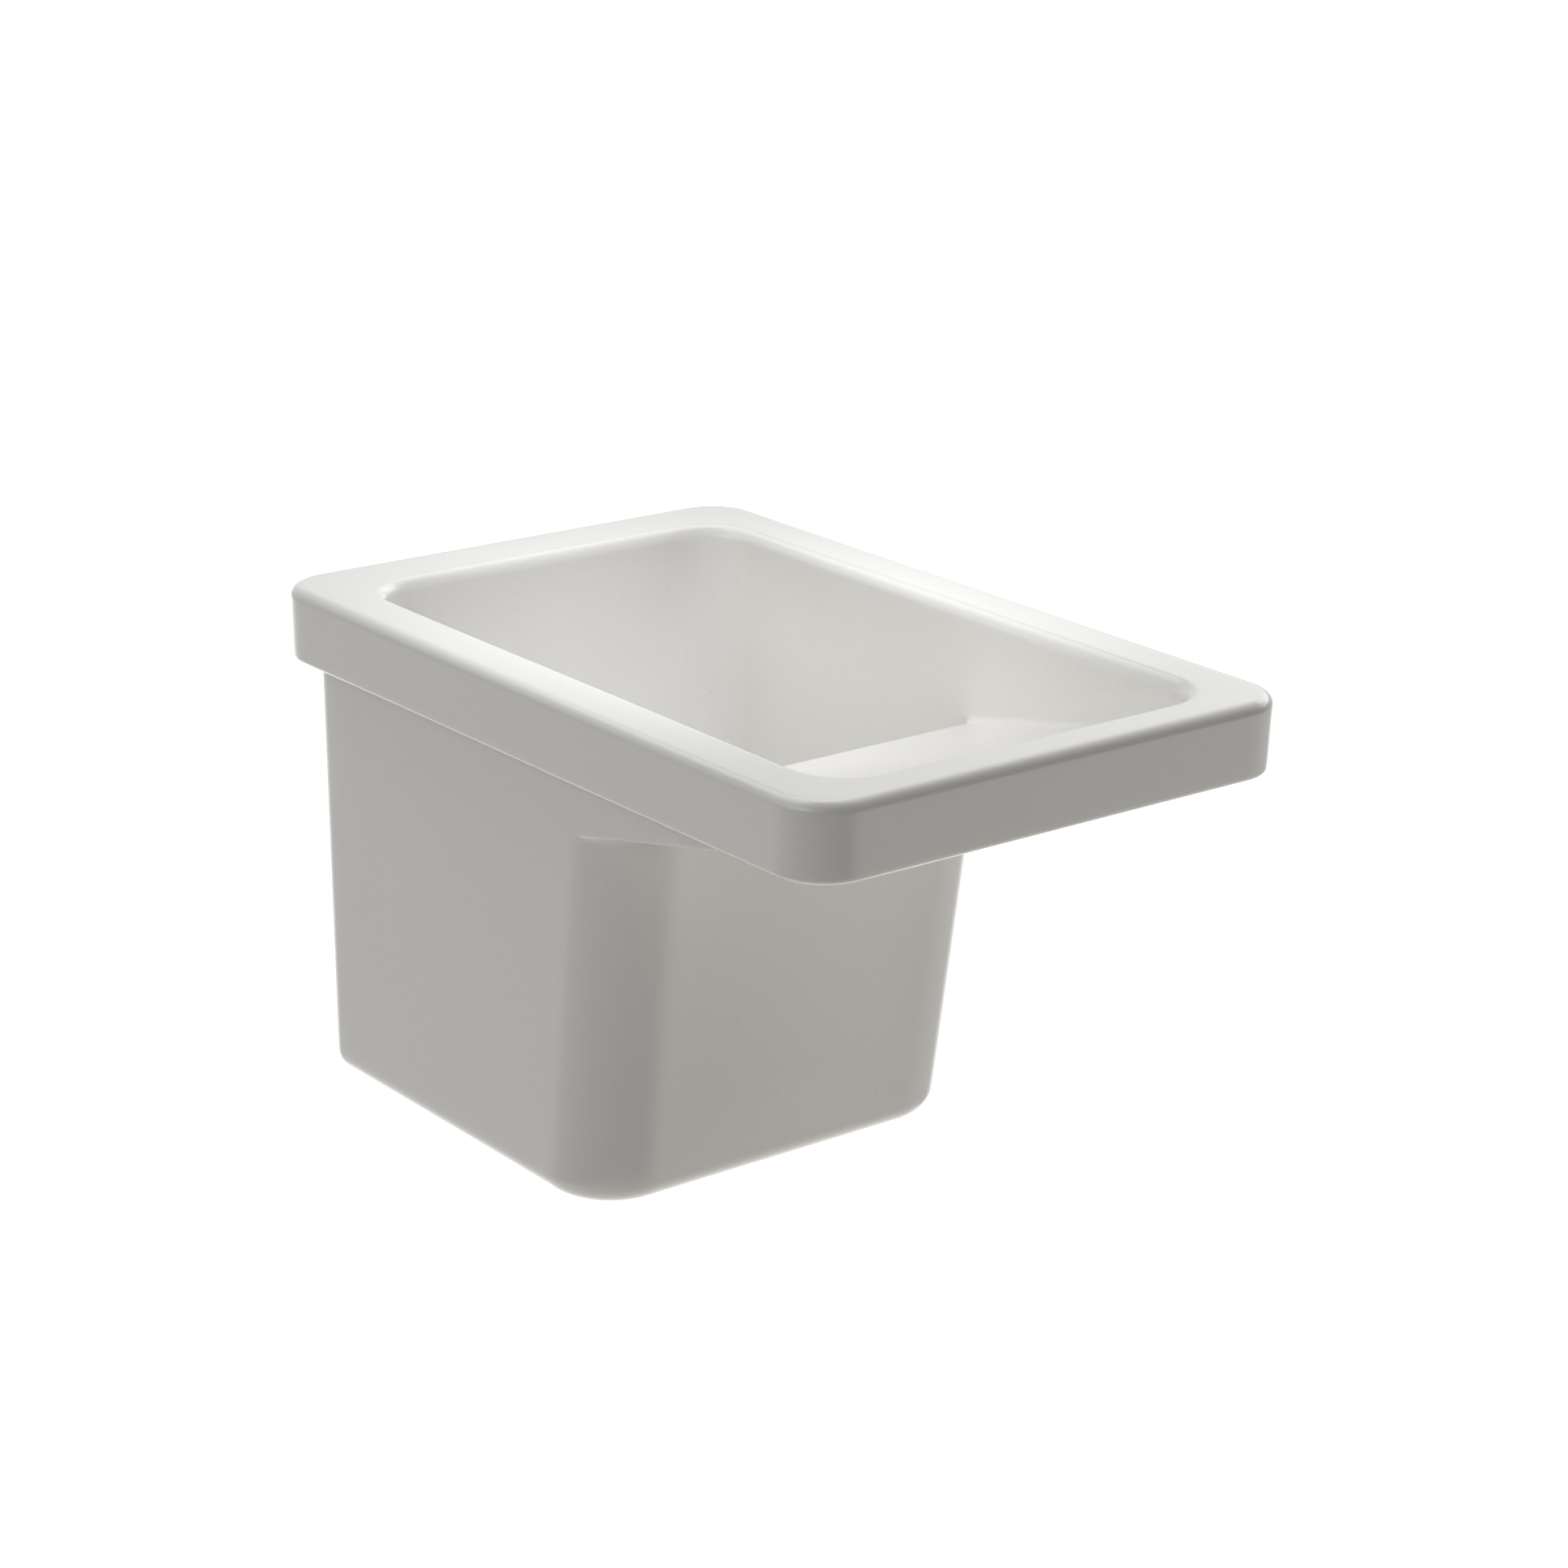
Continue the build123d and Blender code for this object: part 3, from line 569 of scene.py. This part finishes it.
def steelFinish(name, colour, roughness, spread, rings=2600.0):
    # pressed steel: fine rings left by the spinning tool, a few dull water marks
    steel = Finish(name)
    turning = steel.noise(1.0, 3.0, 0.6, steel.aroundWaste(rings, 3.0, rings))
    marks = steel.step(steel.noise(70.0, 4.0), 0.5, 0.68)
    dull = tuple(0.82 * part for part in colour[:3]) + (1,)
    shine = steel.mix(turning * 0.5 + marks * 0.3, colour, dull)
    return steel.surface(
        Base_Color=shine, Metallic=1.0, Roughness=roughness + spread * turning + 0.06 * marks,
        Normal=steel.bump(turning, 0.12, 0.0001))


def zincFinish():
    # hot-dip zinc: pale crystals of different tones with sunken seams between them
    zinc = Finish("zinc steel")
    fineness = 130.0  # crystals to a metre
    crystal = zinc.node("ShaderNodeTexVoronoi", {"feature": "F1"}, {
        "Vector": zinc.place(), "Scale": fineness}, out=1)
    tone = zinc.parts(crystal)[0]
    seam = zinc.node("ShaderNodeTexVoronoi", {"feature": "DISTANCE_TO_EDGE"}, {
        "Vector": zinc.place(), "Scale": fineness})
    rust = zinc.step(zinc.noise(45.0, 5.0, 0.65), 0.66, 0.74)
    base = zinc.mix(tone, (0.36, 0.37, 0.39, 1), (0.53, 0.54, 0.56, 1))
    return zinc.surface(
        Base_Color=zinc.mix(rust * 0.35, base, (0.74, 0.73, 0.70, 1)), Metallic=1.0 - 0.5 * rust,
        Roughness=0.30 + 0.22 * tone + 0.2 * rust,
        Normal=zinc.bump(zinc.step(seam, 0.0, 0.08) + tone * 0.4, 0.15, 0.0001))


def brassFinish():
    # turned brass: rings of the tool and brown tarnish in patches
    brass = Finish("brass")
    turning = brass.noise(1.0, 2.0, 0.6, brass.aroundWaste(1800.0, 2.0, 1800.0))
    tarnish = brass.step(brass.noise(160.0, 4.0), 0.45, 0.7)
    return brass.surface(
        Base_Color=brass.mix(tarnish * 0.6, (0.74, 0.55, 0.25, 1), (0.46, 0.32, 0.14, 1)), Metallic=1.0,
        Roughness=0.22 + 0.12 * turning + 0.15 * tarnish, Normal=brass.bump(turning, 0.15, 0.0001))


def rubberFinish(name, dark, pale):
    # moulded rubber: fine pores and a trace of chalky bloom
    rubber = Finish(name)
    pores = rubber.noise(1500.0, 2.0, 0.6)
    bloom = rubber.step(rubber.noise(55.0, 5.0, 0.6), 0.48, 0.72)
    return rubber.surface(
        Base_Color=rubber.mix(bloom * 0.7, dark, pale), Roughness=0.58 + 0.22 * bloom,
        Normal=rubber.bump(pores, 0.2, 0.0001))


def plasticFinish(name, pale, dark, roughness, **more):
    # moulded plastic: faint flow clouds and the grain of the mould
    plastic = Finish(name)
    flow = plastic.noise(24.0, 4.0, 0.6)
    grain = plastic.noise(1100.0, 2.0, 0.5)
    return plastic.surface(
        Base_Color=plastic.mix(flow, pale, dark), Roughness=roughness + 0.12 * grain,
        Normal=plastic.bump(grain, 0.12, 0.0001), **more)


finishes = {
    "glaze": glazeFinish(),
    "steel": steelFinish("steel", (0.63, 0.62, 0.60, 1), 0.20, 0.16),
    "polished_steel": steelFinish("polished steel", (0.74, 0.73, 0.71, 1), 0.07, 0.08),
    "zinc_steel": zincFinish(),
    "brass": brassFinish(),
    "black_rubber": rubberFinish("black rubber", (0.022, 0.022, 0.023, 1), (0.055, 0.055, 0.055, 1)),
    "grey_rubber": rubberFinish("grey rubber", (0.13, 0.13, 0.135, 1), (0.20, 0.20, 0.20, 1)),
    "white_plastic": plasticFinish(
        "white plastic", (0.84, 0.84, 0.82, 1), (0.79, 0.79, 0.77, 1), 0.32, IOR=1.49),
    "clear_plastic": plasticFinish(
        "clear plastic", (0.80, 0.80, 0.76, 1), (0.74, 0.74, 0.70, 1), 0.28, IOR=1.49,
        Transmission_Weight=0.55),
}
print("finishes ready:", len(finishes))


# the waste and its basket, in millimetres from the waste's axis and from the top of the bowl's floor
waste = {
    "steel": 1.2, "cup": 40.0, "cupFoot": 39.0, "seat": -20.0, "seatFoot": -25.0, "well": 31.0,
    "depth": -36.0, "flange": 56.0, "middle": 5.3, "holes": 12, "hole": 2.6, "holeRing": 21.5,
    "pressRound": 2.0,
    "bodyFlange": 54.0, "bore": 44.0, "wall": 3.0, "ringFoot": -22.8, "flangeFoot": -26.8,
    "cupEnd": -41.8, "coneEnd": -51.8, "outlet": 23.9, "outletBore": 20.0, "outletEnd": -75.8,
    "threadDepth": 1.2, "pitch": 2.31, "gripRibs": 18, "gripRise": 1.3,
    "boss": 11.0, "bossTop": -40.2, "bossFoot": -52.2, "insert": 7.0, "insertDepth": 8.0,
    "ribs": 3, "rib": 3.0, "ribStart": 8.0, "ribBelow": 0.4,
}
basket = {
    "metal": 1.0, "top": 38.0, "foot": 32.0, "rimLevel": -2.0, "under": -19.27, "post": 2.55, "slots": 14,
    "slot": 1.6, "slotHeight": 9.0, "pressRound": 2.2, "bead": 0.9, "beadOver": 0.7,
    "knob": 9.0, "knobTop": -2.0, "knobFoot": -13.0, "neck": 6.5, "postTop": 4.0, "knobEdge": 1.6,
    "flutes": 36, "fluteDepth": 0.35,
    "dish": 0.25, "dishRound": 7.6, "ridges": 19, "ridgeRise": 0.12, "ridgeReach": (1.0, 6.4),
}


def rounded(corners, radii, steps=6):
    # a closed outline with an arc at each corner, which takes less than half of either line
    corners = np.asarray(corners, float)
    around = zip(np.roll(corners, 1, 0), corners, np.roll(corners, -1, 0), radii)
    return np.concatenate([bend(before, point, after, radius, steps, 0.49)
                           for before, point, after, radius in around])


def filled(outline, longest):
    # The same outline with extra points, so that no stretch is longer than the given length, which is one
    # number or one for each stretch.
    gaps, longest = np.roll(outline, -1, 0) - outline, np.broadcast_to(longest, len(outline))
    counts = [max(1, math.ceil(np.linalg.norm(gap) / most)) for gap, most in zip(gaps, longest)]
    return np.concatenate([start + gap * np.linspace(0, 1, count + 1)[:-1, None]
                           for start, gap, count in zip(outline, gaps, counts)])


def turnedGrid(outline, count):
    # (radius, level) points carried round an upright axis: x = r cos a, y = r sin a. The outline is turned
    # round first where it runs the other way, so that faces point outwards.
    r, level = outline.T
    area = np.sum(r * np.roll(level, -1) - np.roll(r, -1) * level)
    if area > 0:
        r, level = r[::-1], level[::-1]
    angle = np.linspace(0, 2 * math.pi, count, endpoint=False)
    x, y = r[:, None] * np.cos(angle), r[:, None] * np.sin(angle)
    return np.stack([x, y, np.repeat(level[:, None], count, 1)], axis=2)


def atWaste(points):  # from the waste's own place to the shared frame
    return points + [0, sink["drainPlace"], sink["floor"]]


def combined(piece, other, operation):
    # one closed mesh out of two, joined or cut
    step = piece.modifiers.new("combine", "BOOLEAN")
    step.object, step.operation, step.solver = other, operation, "MANIFOLD"
    bpy.context.view_layer.update()
    bakeModifiers(piece)
    bpy.data.objects.remove(other)


def finished(piece, body, stands, slotName, degrees=35):
    softShade(piece, degrees)
    piece.data.materials.clear()
    piece.data.materials.append(finishes[slotName])
    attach(piece, body)
    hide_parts(*stands)
    print(piece.name, "made:", len(piece.data.polygons), "faces")


def rodBlocks(count, ringRadius, rodRadius, high, low, steps=20):
    # upright round bars on a ring, as closed blocks
    angle = np.linspace(0, 2 * math.pi, steps, endpoint=False)
    blocks = []
    for turn in 2 * math.pi * np.arange(count) / count:
        x = ringRadius * math.cos(turn) + rodRadius * np.cos(angle)
        y = ringRadius * math.sin(turn) + rodRadius * np.sin(angle)
        blocks.append(atWaste(np.stack([np.stack([x, y, np.full(steps, z)], axis=1) for z in (high, low)])))
    return closedStack(blocks)


def barBlocks(count, width, stations, first=0.0, soft=0.0):
    # Bars that run outwards from the axis, as closed blocks. A station is (distance, lower level, upper
    # level), and its section is a rectangle of the given width with corners cut by soft.
    blocks = []
    h = width / 2
    for turn in math.radians(first) + 2 * math.pi * np.arange(count) / count:
        across = np.array([-math.sin(turn), math.cos(turn), 0])
        along = np.array([math.cos(turn), math.sin(turn), 0])
        rings = []
        for distance, low, high in stations:
            section = np.array([(-h, low + soft), (-h + soft, low), (h - soft, low), (h, low + soft),
                                (h, high - soft), (h - soft, high), (-h + soft, high), (-h, high - soft)])
            rings.append(along * distance + section[:, :1] * across + section[:, 1:] * np.array([0, 0, 1]))
        blocks.append(atWaste(np.array(rings[::-1])))
    return closedStack(blocks)


def makeStrainer():
    # One pressed sheet turned round the axis: the inside line outwards, the same line a sheet lower back
    # again, and each bend's outer radius larger by the sheet. Round holes go through its foot.
    w, t = waste, waste["steel"]
    inner = [(w["middle"], w["depth"]), (w["well"], w["depth"]), (w["well"], w["seatFoot"]),
             (w["cupFoot"], w["seat"]), (w["cup"], 0), (w["flange"], 0)]
    under = [(w["flange"], -t), (w["cup"] + t, -t), (w["cupFoot"] + t, w["seat"] - t),
             (w["well"] + t, w["seatFoot"] - t), (w["well"] + t, w["depth"] - t),
             (w["middle"], w["depth"] - t)]
    press = w["pressRound"]
    radii = [0.3, press, press + t, press, press + t, 0.5] + [0.5, press, press + t, press, press + t, 0.3]
    grid = turnedGrid(filled(rounded(inner + under, radii), 3.0), 128)
    strainer = ringPiece("strainer_cup", atWaste(grid))
    rods = rodBlocks(w["holes"], w["holeRing"], w["hole"], w["depth"] + 3, w["depth"] - 4)
    combined(strainer, meshPiece("holes", *rods), "DIFFERENCE")
    finished(strainer, "sink", ["strainer_bowl"], "steel")


def makeWasteBody():
    # The moulded cup. Its outlet's radius is the thread's root plus a clipped triangle wave of
    # (level / pitch + angle / turn), and its cup carries grip ribs that rise as a power of a cosine.
    w = waste
    outer, root = w["bore"] + w["wall"], w["outlet"] - w["threadDepth"]
    corners = [(w["bore"], w["ringFoot"]), (w["bodyFlange"], w["ringFoot"]),
               (w["bodyFlange"], w["flangeFoot"]), (outer, w["flangeFoot"]), (outer, w["cupEnd"]),
               (root, w["coneEnd"]), (root, w["outletEnd"]), (w["outletBore"], w["outletEnd"]),
               (w["outletBore"], w["coneEnd"]), (w["bore"], w["cupEnd"])]
    outline = rounded(corners, [0.5, 0.8, 0.8, 2.0, 4.0, 2.0, 0.6, 0.6, 3.0, 3.0])
    outline = filled(outline, np.where(np.abs(outline[:, 0] - root) < 0.05, 0.33, 2.0))  # fine on the thread
    grid = turnedGrid(outline, 216)
    x, y, level = np.moveaxis(grid, 2, 0)
    r, angle = np.hypot(x, y), np.arctan2(y, x)
    onThread = (r > root - 0.05) & (level < w["coneEnd"] - 2)
    wave = np.abs((level / w["pitch"] + angle / (2 * math.pi)) % 1 - 0.5) * 2
    tooth = np.clip(1.6 * (wave - 0.28), 0, 1) * w["threadDepth"]
    tooth *= eased(w["outletEnd"] + 0.6, w["outletEnd"] + 2.6, level)
    tooth *= eased(w["coneEnd"] - 2.5, w["coneEnd"] - 5, level)
    onCup = (r > outer - 0.05) & (level < w["flangeFoot"] - 0.1) & (level > w["cupEnd"] - 2)
    grip = np.clip(np.cos(w["gripRibs"] * angle), 0, 1) ** 3 * w["gripRise"]
    grip *= eased(w["cupEnd"] + 0.5, w["cupEnd"] + 3, level)
    wider = (r + tooth * onThread + grip * onCup) / r
    grid[:, :, 0], grid[:, :, 1] = x * wider, y * wider
    body = ringPiece("waste_cup", atWaste(grid))
    ribTop = w["bossTop"] - w["ribBelow"]
    bar = [(w["ribStart"], w["bossFoot"] + 0.5, ribTop), (root, w["coneEnd"] + 0.4, ribTop),
           (outer - w["wall"] / 2, w["cupEnd"] - 0.6, ribTop)]
    combined(body, meshPiece("ribs", *barBlocks(w["ribs"], w["rib"], bar, 90, 0.5)), "UNION")
    bossCorners = [(w["insert"], w["bossTop"]), (w["boss"], w["bossTop"]), (w["boss"], w["bossFoot"]),
                   (w["middle"], w["bossFoot"]), (w["middle"], w["bossTop"] - w["insertDepth"]),
                   (w["insert"], w["bossTop"] - w["insertDepth"])]
    bossGrid = turnedGrid(filled(rounded(bossCorners, [0.3, 1.0, 1.0, 0.3, 0, 0]), 3.0), 72)
    seatGrid = turnedGrid(np.array([(0.5, 0), (w["insert"], 0), (w["insert"], -w["insertDepth"]),
                                    (w["middle"], -w["insertDepth"]), (w["middle"], -20), (0.5, -20)])
                          + [0, w["bossTop"]], 72)
    for name, part, operation in (("seat", seatGrid, "DIFFERENCE"), ("boss", bossGrid, "UNION")):
        combined(body, ringPiece(name, atWaste(part)), operation)
    finished(body, "sink", ["waste_body"], "white_plastic")


def makeBasketCup():
    # A pressed cup turned round the axis: its underside outwards, up the wall to a bead at the rim, and back
    # down the inside. Upright slots go through the wall.
    b, t = basket, basket["metal"]
    top, rim, bead = b["top"], b["rimLevel"], b["bead"]
    inside, floor = top - t - b["beadOver"], b["under"] + t
    corners = [(b["post"], b["under"]), (b["foot"], b["under"]), (top - b["beadOver"] / 2, rim - bead * 2),
               (top, rim - bead), (top, rim), (inside, rim), (inside, rim - bead * 2),
               (b["foot"] - t, floor), (b["post"], floor)]
    radii = [0.2, b["pressRound"] + t, 0.3, 0.6, bead, bead, 0.4, b["pressRound"], 0.2]
    grid = turnedGrid(filled(rounded(corners, radii), 3.0), 140)
    cup = ringPiece("basket_shell", atWaste(grid))
    middle, half = (floor + rim) / 2, b["slotHeight"] / 2
    slot = [(distance, middle - half, middle + half) for distance in (b["foot"] - 6, top + 4)]
    combined(cup, meshPiece("slots", *barBlocks(b["slots"], b["slot"], slot, 0, 0.6)), "DIFFERENCE")
    finished(cup, "basket", ["basket_cup"], "polished_steel")


def makeKnob():
    # A turned knob: neck, fluted band, and a top dished in rings. On the band the radius dips by fluteDepth
    # times (1 - |cos|) of half the number of flutes times the angle.
    b = basket
    top, foot = b["knobTop"], b["knobFoot"]
    under = foot + (top - foot) / 2
    ridges = [(r, top - b["dish"] - b["ridgeRise"] * (step % 2))
              for step, r in enumerate(np.linspace(*b["ridgeReach"], b["ridges"]))]
    axis = 0.02  # the outline's ends stand this far from the axis
    corners = [(axis, under), (b["postTop"], under), (b["postTop"], foot), (b["neck"], foot),
               (b["neck"], under - 1), (b["knob"], under + 1), (b["knob"], top - b["knobEdge"]),
               (b["dishRound"], top)] + ridges[::-1] + [(axis, top - 0.3)]
    radii = [0, 0.2, 0.3, 0.6, 1.2, 0.7, 1.0, 0.8] + [0.1] * len(ridges) + [0]
    outline = filled(rounded(corners, radii, 4), 0.8)
    grid = turnedGrid(outline, 180)
    x, y, level = np.moveaxis(grid, 2, 0)
    r, angle = np.hypot(x, y), np.arctan2(y, x)
    onBand = eased(b["knob"] - b["knobEdge"], b["knob"] - 0.4, r)
    onBand = onBand * eased(under, under + 1.2, level) * eased(top - 0.6, top - 1.8, level)
    dip = b["fluteDepth"] * (1 - np.abs(np.cos(b["flutes"] / 2 * angle))) * onBand
    grid[:, :, 0], grid[:, :, 1] = x * (1 - dip / r), y * (1 - dip / r)
    knob = ringPiece("lift_knob", atWaste(grid))
    finished(knob, "basket", ["basket_knob"], "polished_steel", 50)


# CAD pieces whose shape stays: an edge radius in millimetres and the finish's slot
dressed = {
    "wall_hooks": (0.6, "zinc_steel"), "hook_pads": (0.5, "black_rubber"),
    "flange_seal": (0.4, "black_rubber"), "under_gasket": (0.5, "black_rubber"),
    "slip_ring": (0.15, "clear_plastic"), "threaded_insert": (0.25, "brass"),
    "clamping_screw": (0.3, "steel"), "screw_washer": (0.15, "steel"),
    "basket_seal": (0.4, "grey_rubber"), "seal_carrier": (0.3, "white_plastic"),
    "basket_post": (0.2, "steel"), "post_nut": (0.3, "brass"), "snap_collet": (0.1, "clear_plastic"),
}
dressing = {"weld": 0.00001, "flatWithin": 0.3, "roundOver": 35.0, "roundSteps": 2}  # metres and degrees


def dress(name, radius, slotName):
    # A CAD mesh is loose triangles, so it is merged first by a modifier. Then its edges get a small round.
    node = nodes[name]
    node.data.materials.clear()
    node.data.materials.append(finishes[slotName])
    node.data.polygons.foreach_set("use_smooth", np.ones(len(node.data.polygons), bool))
    merge = node.modifiers.new("merge", "WELD")
    merge.merge_threshold = dressing["weld"]
    flat = node.modifiers.new("flat", "DECIMATE")  # triangles of one flat face become one face
    flat.decimate_type, flat.angle_limit = "DISSOLVE", math.radians(dressing["flatWithin"])
    edge = node.modifiers.new("edge", "BEVEL")
    edge.width, edge.segments, edge.limit_method = radius * mm, dressing["roundSteps"], "ANGLE"
    edge.angle_limit, edge.harden_normals = math.radians(dressing["roundOver"]), True
    even = node.modifiers.new("even", "WEIGHTED_NORMAL")
    even.keep_sharp = True


makeBasin()
makeStrainer()
makeWasteBody()
makeBasketCup()
makeKnob()
for name, (radius, slotName) in dressed.items():
    dress(name, radius, slotName)
# the five solids that are replaced don't show, but carry a finish as every node does
for name in ("basin", "strainer_bowl", "waste_body", "basket_cup", "basket_knob"):
    nodes[name].data.materials.clear()
    nodes[name].data.materials.append(finishes["glaze"])
print("all pieces dressed")


room = {
    "floorLevel": -0.80, "floorReach": 30.0, "floorColour": (0.92, 0.91, 0.90, 1), "floorWhite": 0.8,
    "facing": 38.0,  # degrees round from the wall, towards the right, where the first colour below lies
    "softEdge": 5.0,
    # soft light from each band of height, in degrees above the horizon: its tint, and how bright it is at
    # even steps round the room
    "bands": (
        (-95, -40, (1.04, 1, 0.93), (0.72,)),
        (-40, -12, (1.04, 1, 0.93), (1.4, 0, 1.2, 0.1, 0, 0, 0, 0.55)),
        (12, 38, (1, 1, 0.96), (0.1, 2.9, 0, 0, 0, 2.15, 0.2, 0)),
        (38, 58, (1, 1, 1), (1.85, 0, 0, 0.57)),
        (58, 74, (1.02, 1, 0.97), (2.3, 0, 0, 1.7)),
    ),
}


def makeFloor():
    reach = room["floorReach"]
    mesh = bpy.data.meshes.new("floor")
    corners = np.array([[-1, -1, 0], [1, -1, 0], [1, 1, 0], [-1, 1, 0]]) * reach
    corners[:, 2] = room["floorLevel"]
    mesh.from_pydata(corners.tolist(), [], [(0, 1, 2, 3)])
    floor = bpy.data.objects.new("floor", mesh)
    bpy.context.scene.collection.objects.link(floor)
    paint = Finish("floor paint")
    diffuse = paint.node("ShaderNodeBsdfDiffuse", {}, {"Color": room["floorColour"]})
    seen = paint.node("ShaderNodeLightPath", out="Is Camera Ray")
    glow = paint.node("ShaderNodeEmission", {}, {
        "Color": (1, 1, 1, 1), "Strength": seen * room["floorWhite"]})
    paint.finishWith(paint.node("ShaderNodeAddShader", {}, {0: diffuse, 1: glow}))
    mesh.materials.append(paint.material)
    # the floor lights nothing: the bands below the horizon stand for what it throws back
    floor.visible_diffuse = floor.visible_glossy = floor.visible_shadow = False


def makeWorld():
    world = bpy.data.worlds.new("room light")
    bpy.context.scene.world = world
    world.use_nodes = True
    air = Finish("room light", world.node_tree)
    x, y, z = air.parts(air.place())
    degrees = 180 / math.pi
    height = air.maths("ARCSINE", z) * degrees
    turn = air.maths("ARCTAN2", x, y) * degrees - room["facing"]
    around = air.maths("FRACT", turn / 360)
    light = None
    for low, high, tint, levels in room["bands"]:
        # each band: bright and dark round the room, faded out above and below
        most, steps = max(levels), len(levels)
        stops = [(step / steps, [levels[step % steps] / most * part / max(tint) for part in tint])
                 for step in range(steps + 1)]
        shade = air.node("ShaderNodeValToRGB", {"stops": stops}, {0: around})
        share = air.clamped((height - low) / room["softEdge"] + 0.5)
        share = share * air.clamped((high - height) / room["softEdge"] + 0.5) * (most * max(tint))
        shade = air.node("ShaderNodeVectorMath", {"operation": "SCALE"}, {0: shade, "Scale": share})
        light = shade if light is None else air.added(light, shade)
    # the room itself is white to the camera and in the reflections of metal, glass and glaze
    seen = None
    for ray in ("Is Camera Ray", "Is Glossy Ray", "Is Transmission Ray"):
        kind = air.node("ShaderNodeLightPath", out=ray)
        seen = kind if seen is None else air.maths("MAXIMUM", seen, kind)
    light = air.added(light, seen)
    back = air.node("ShaderNodeBackground", {}, {"Color": light, "Strength": 1.0})
    output = air.tree.nodes.new("ShaderNodeOutputWorld")
    air.tree.links.new(back.socket, output.inputs["Surface"])


# one soft lamp over the bowl: metres, watts, and degrees for its spread
lamp = {"place": (0, -0.48, 0.40), "aim": (0, -0.22, 0), "size": (0.30, 0.30), "power": 0.29, "spread": 50}


def areaLight(name, place, aim, size, power, spread):
    light = bpy.data.lights.new(name, "AREA")
    light.shape, light.size, light.size_y, light.energy = "RECTANGLE", size[0], size[1], power
    light.spread = math.radians(spread)
    holder = bpy.data.objects.new(name, light)
    bpy.context.scene.collection.objects.link(holder)
    holder.location = place
    holder.rotation_euler = (Vector(aim) - Vector(place)).to_track_quat("-Z", "Y").to_euler()
    holder.visible_camera = holder.visible_glossy = False


# the camera's place in metres, its turns in radians, and its lens in pixels of the photograph's frame
view = {
    "place": (-1.50015, -2.22417, 0.77068), "yaw": 0.658, "pitch": 0.320, "roll": 0.012,
    "focalPixels": 4753.377, "centre": (917.559, 940.78), "frame": 1932, "sensor": 36,
}


def makeCamera():
    yaw, pitch, roll = view["yaw"], view["pitch"], view["roll"]
    ahead = Vector((math.sin(yaw) * math.cos(pitch), math.cos(yaw) * math.cos(pitch), -math.sin(pitch)))
    level = Vector((math.cos(yaw), -math.sin(yaw), 0))
    above = level.cross(ahead)
    right = math.cos(roll) * level + math.sin(roll) * above
    up = math.cos(roll) * above - math.sin(roll) * level
    camera = bpy.data.cameras.new("camera")
    camera.sensor_width, camera.sensor_fit = view["sensor"], "HORIZONTAL"
    camera.lens = view["sensor"] * view["focalPixels"] / view["frame"]
    camera.shift_x = 0.5 - view["centre"][0] / view["frame"]
    camera.shift_y = view["centre"][1] / view["frame"] - 0.5
    holder = bpy.data.objects.new("camera", camera)
    bpy.context.scene.collection.objects.link(holder)
    turn = Matrix((right, up, -ahead)).transposed().to_4x4()
    holder.matrix_world = Matrix.Translation(view["place"]) @ turn
    bpy.context.scene.camera = holder


makeFloor()
makeWorld()
areaLight("lamp over the bowl", **lamp)
makeCamera()
bpy.context.scene.view_settings.view_transform = "Standard"
print("room ready")
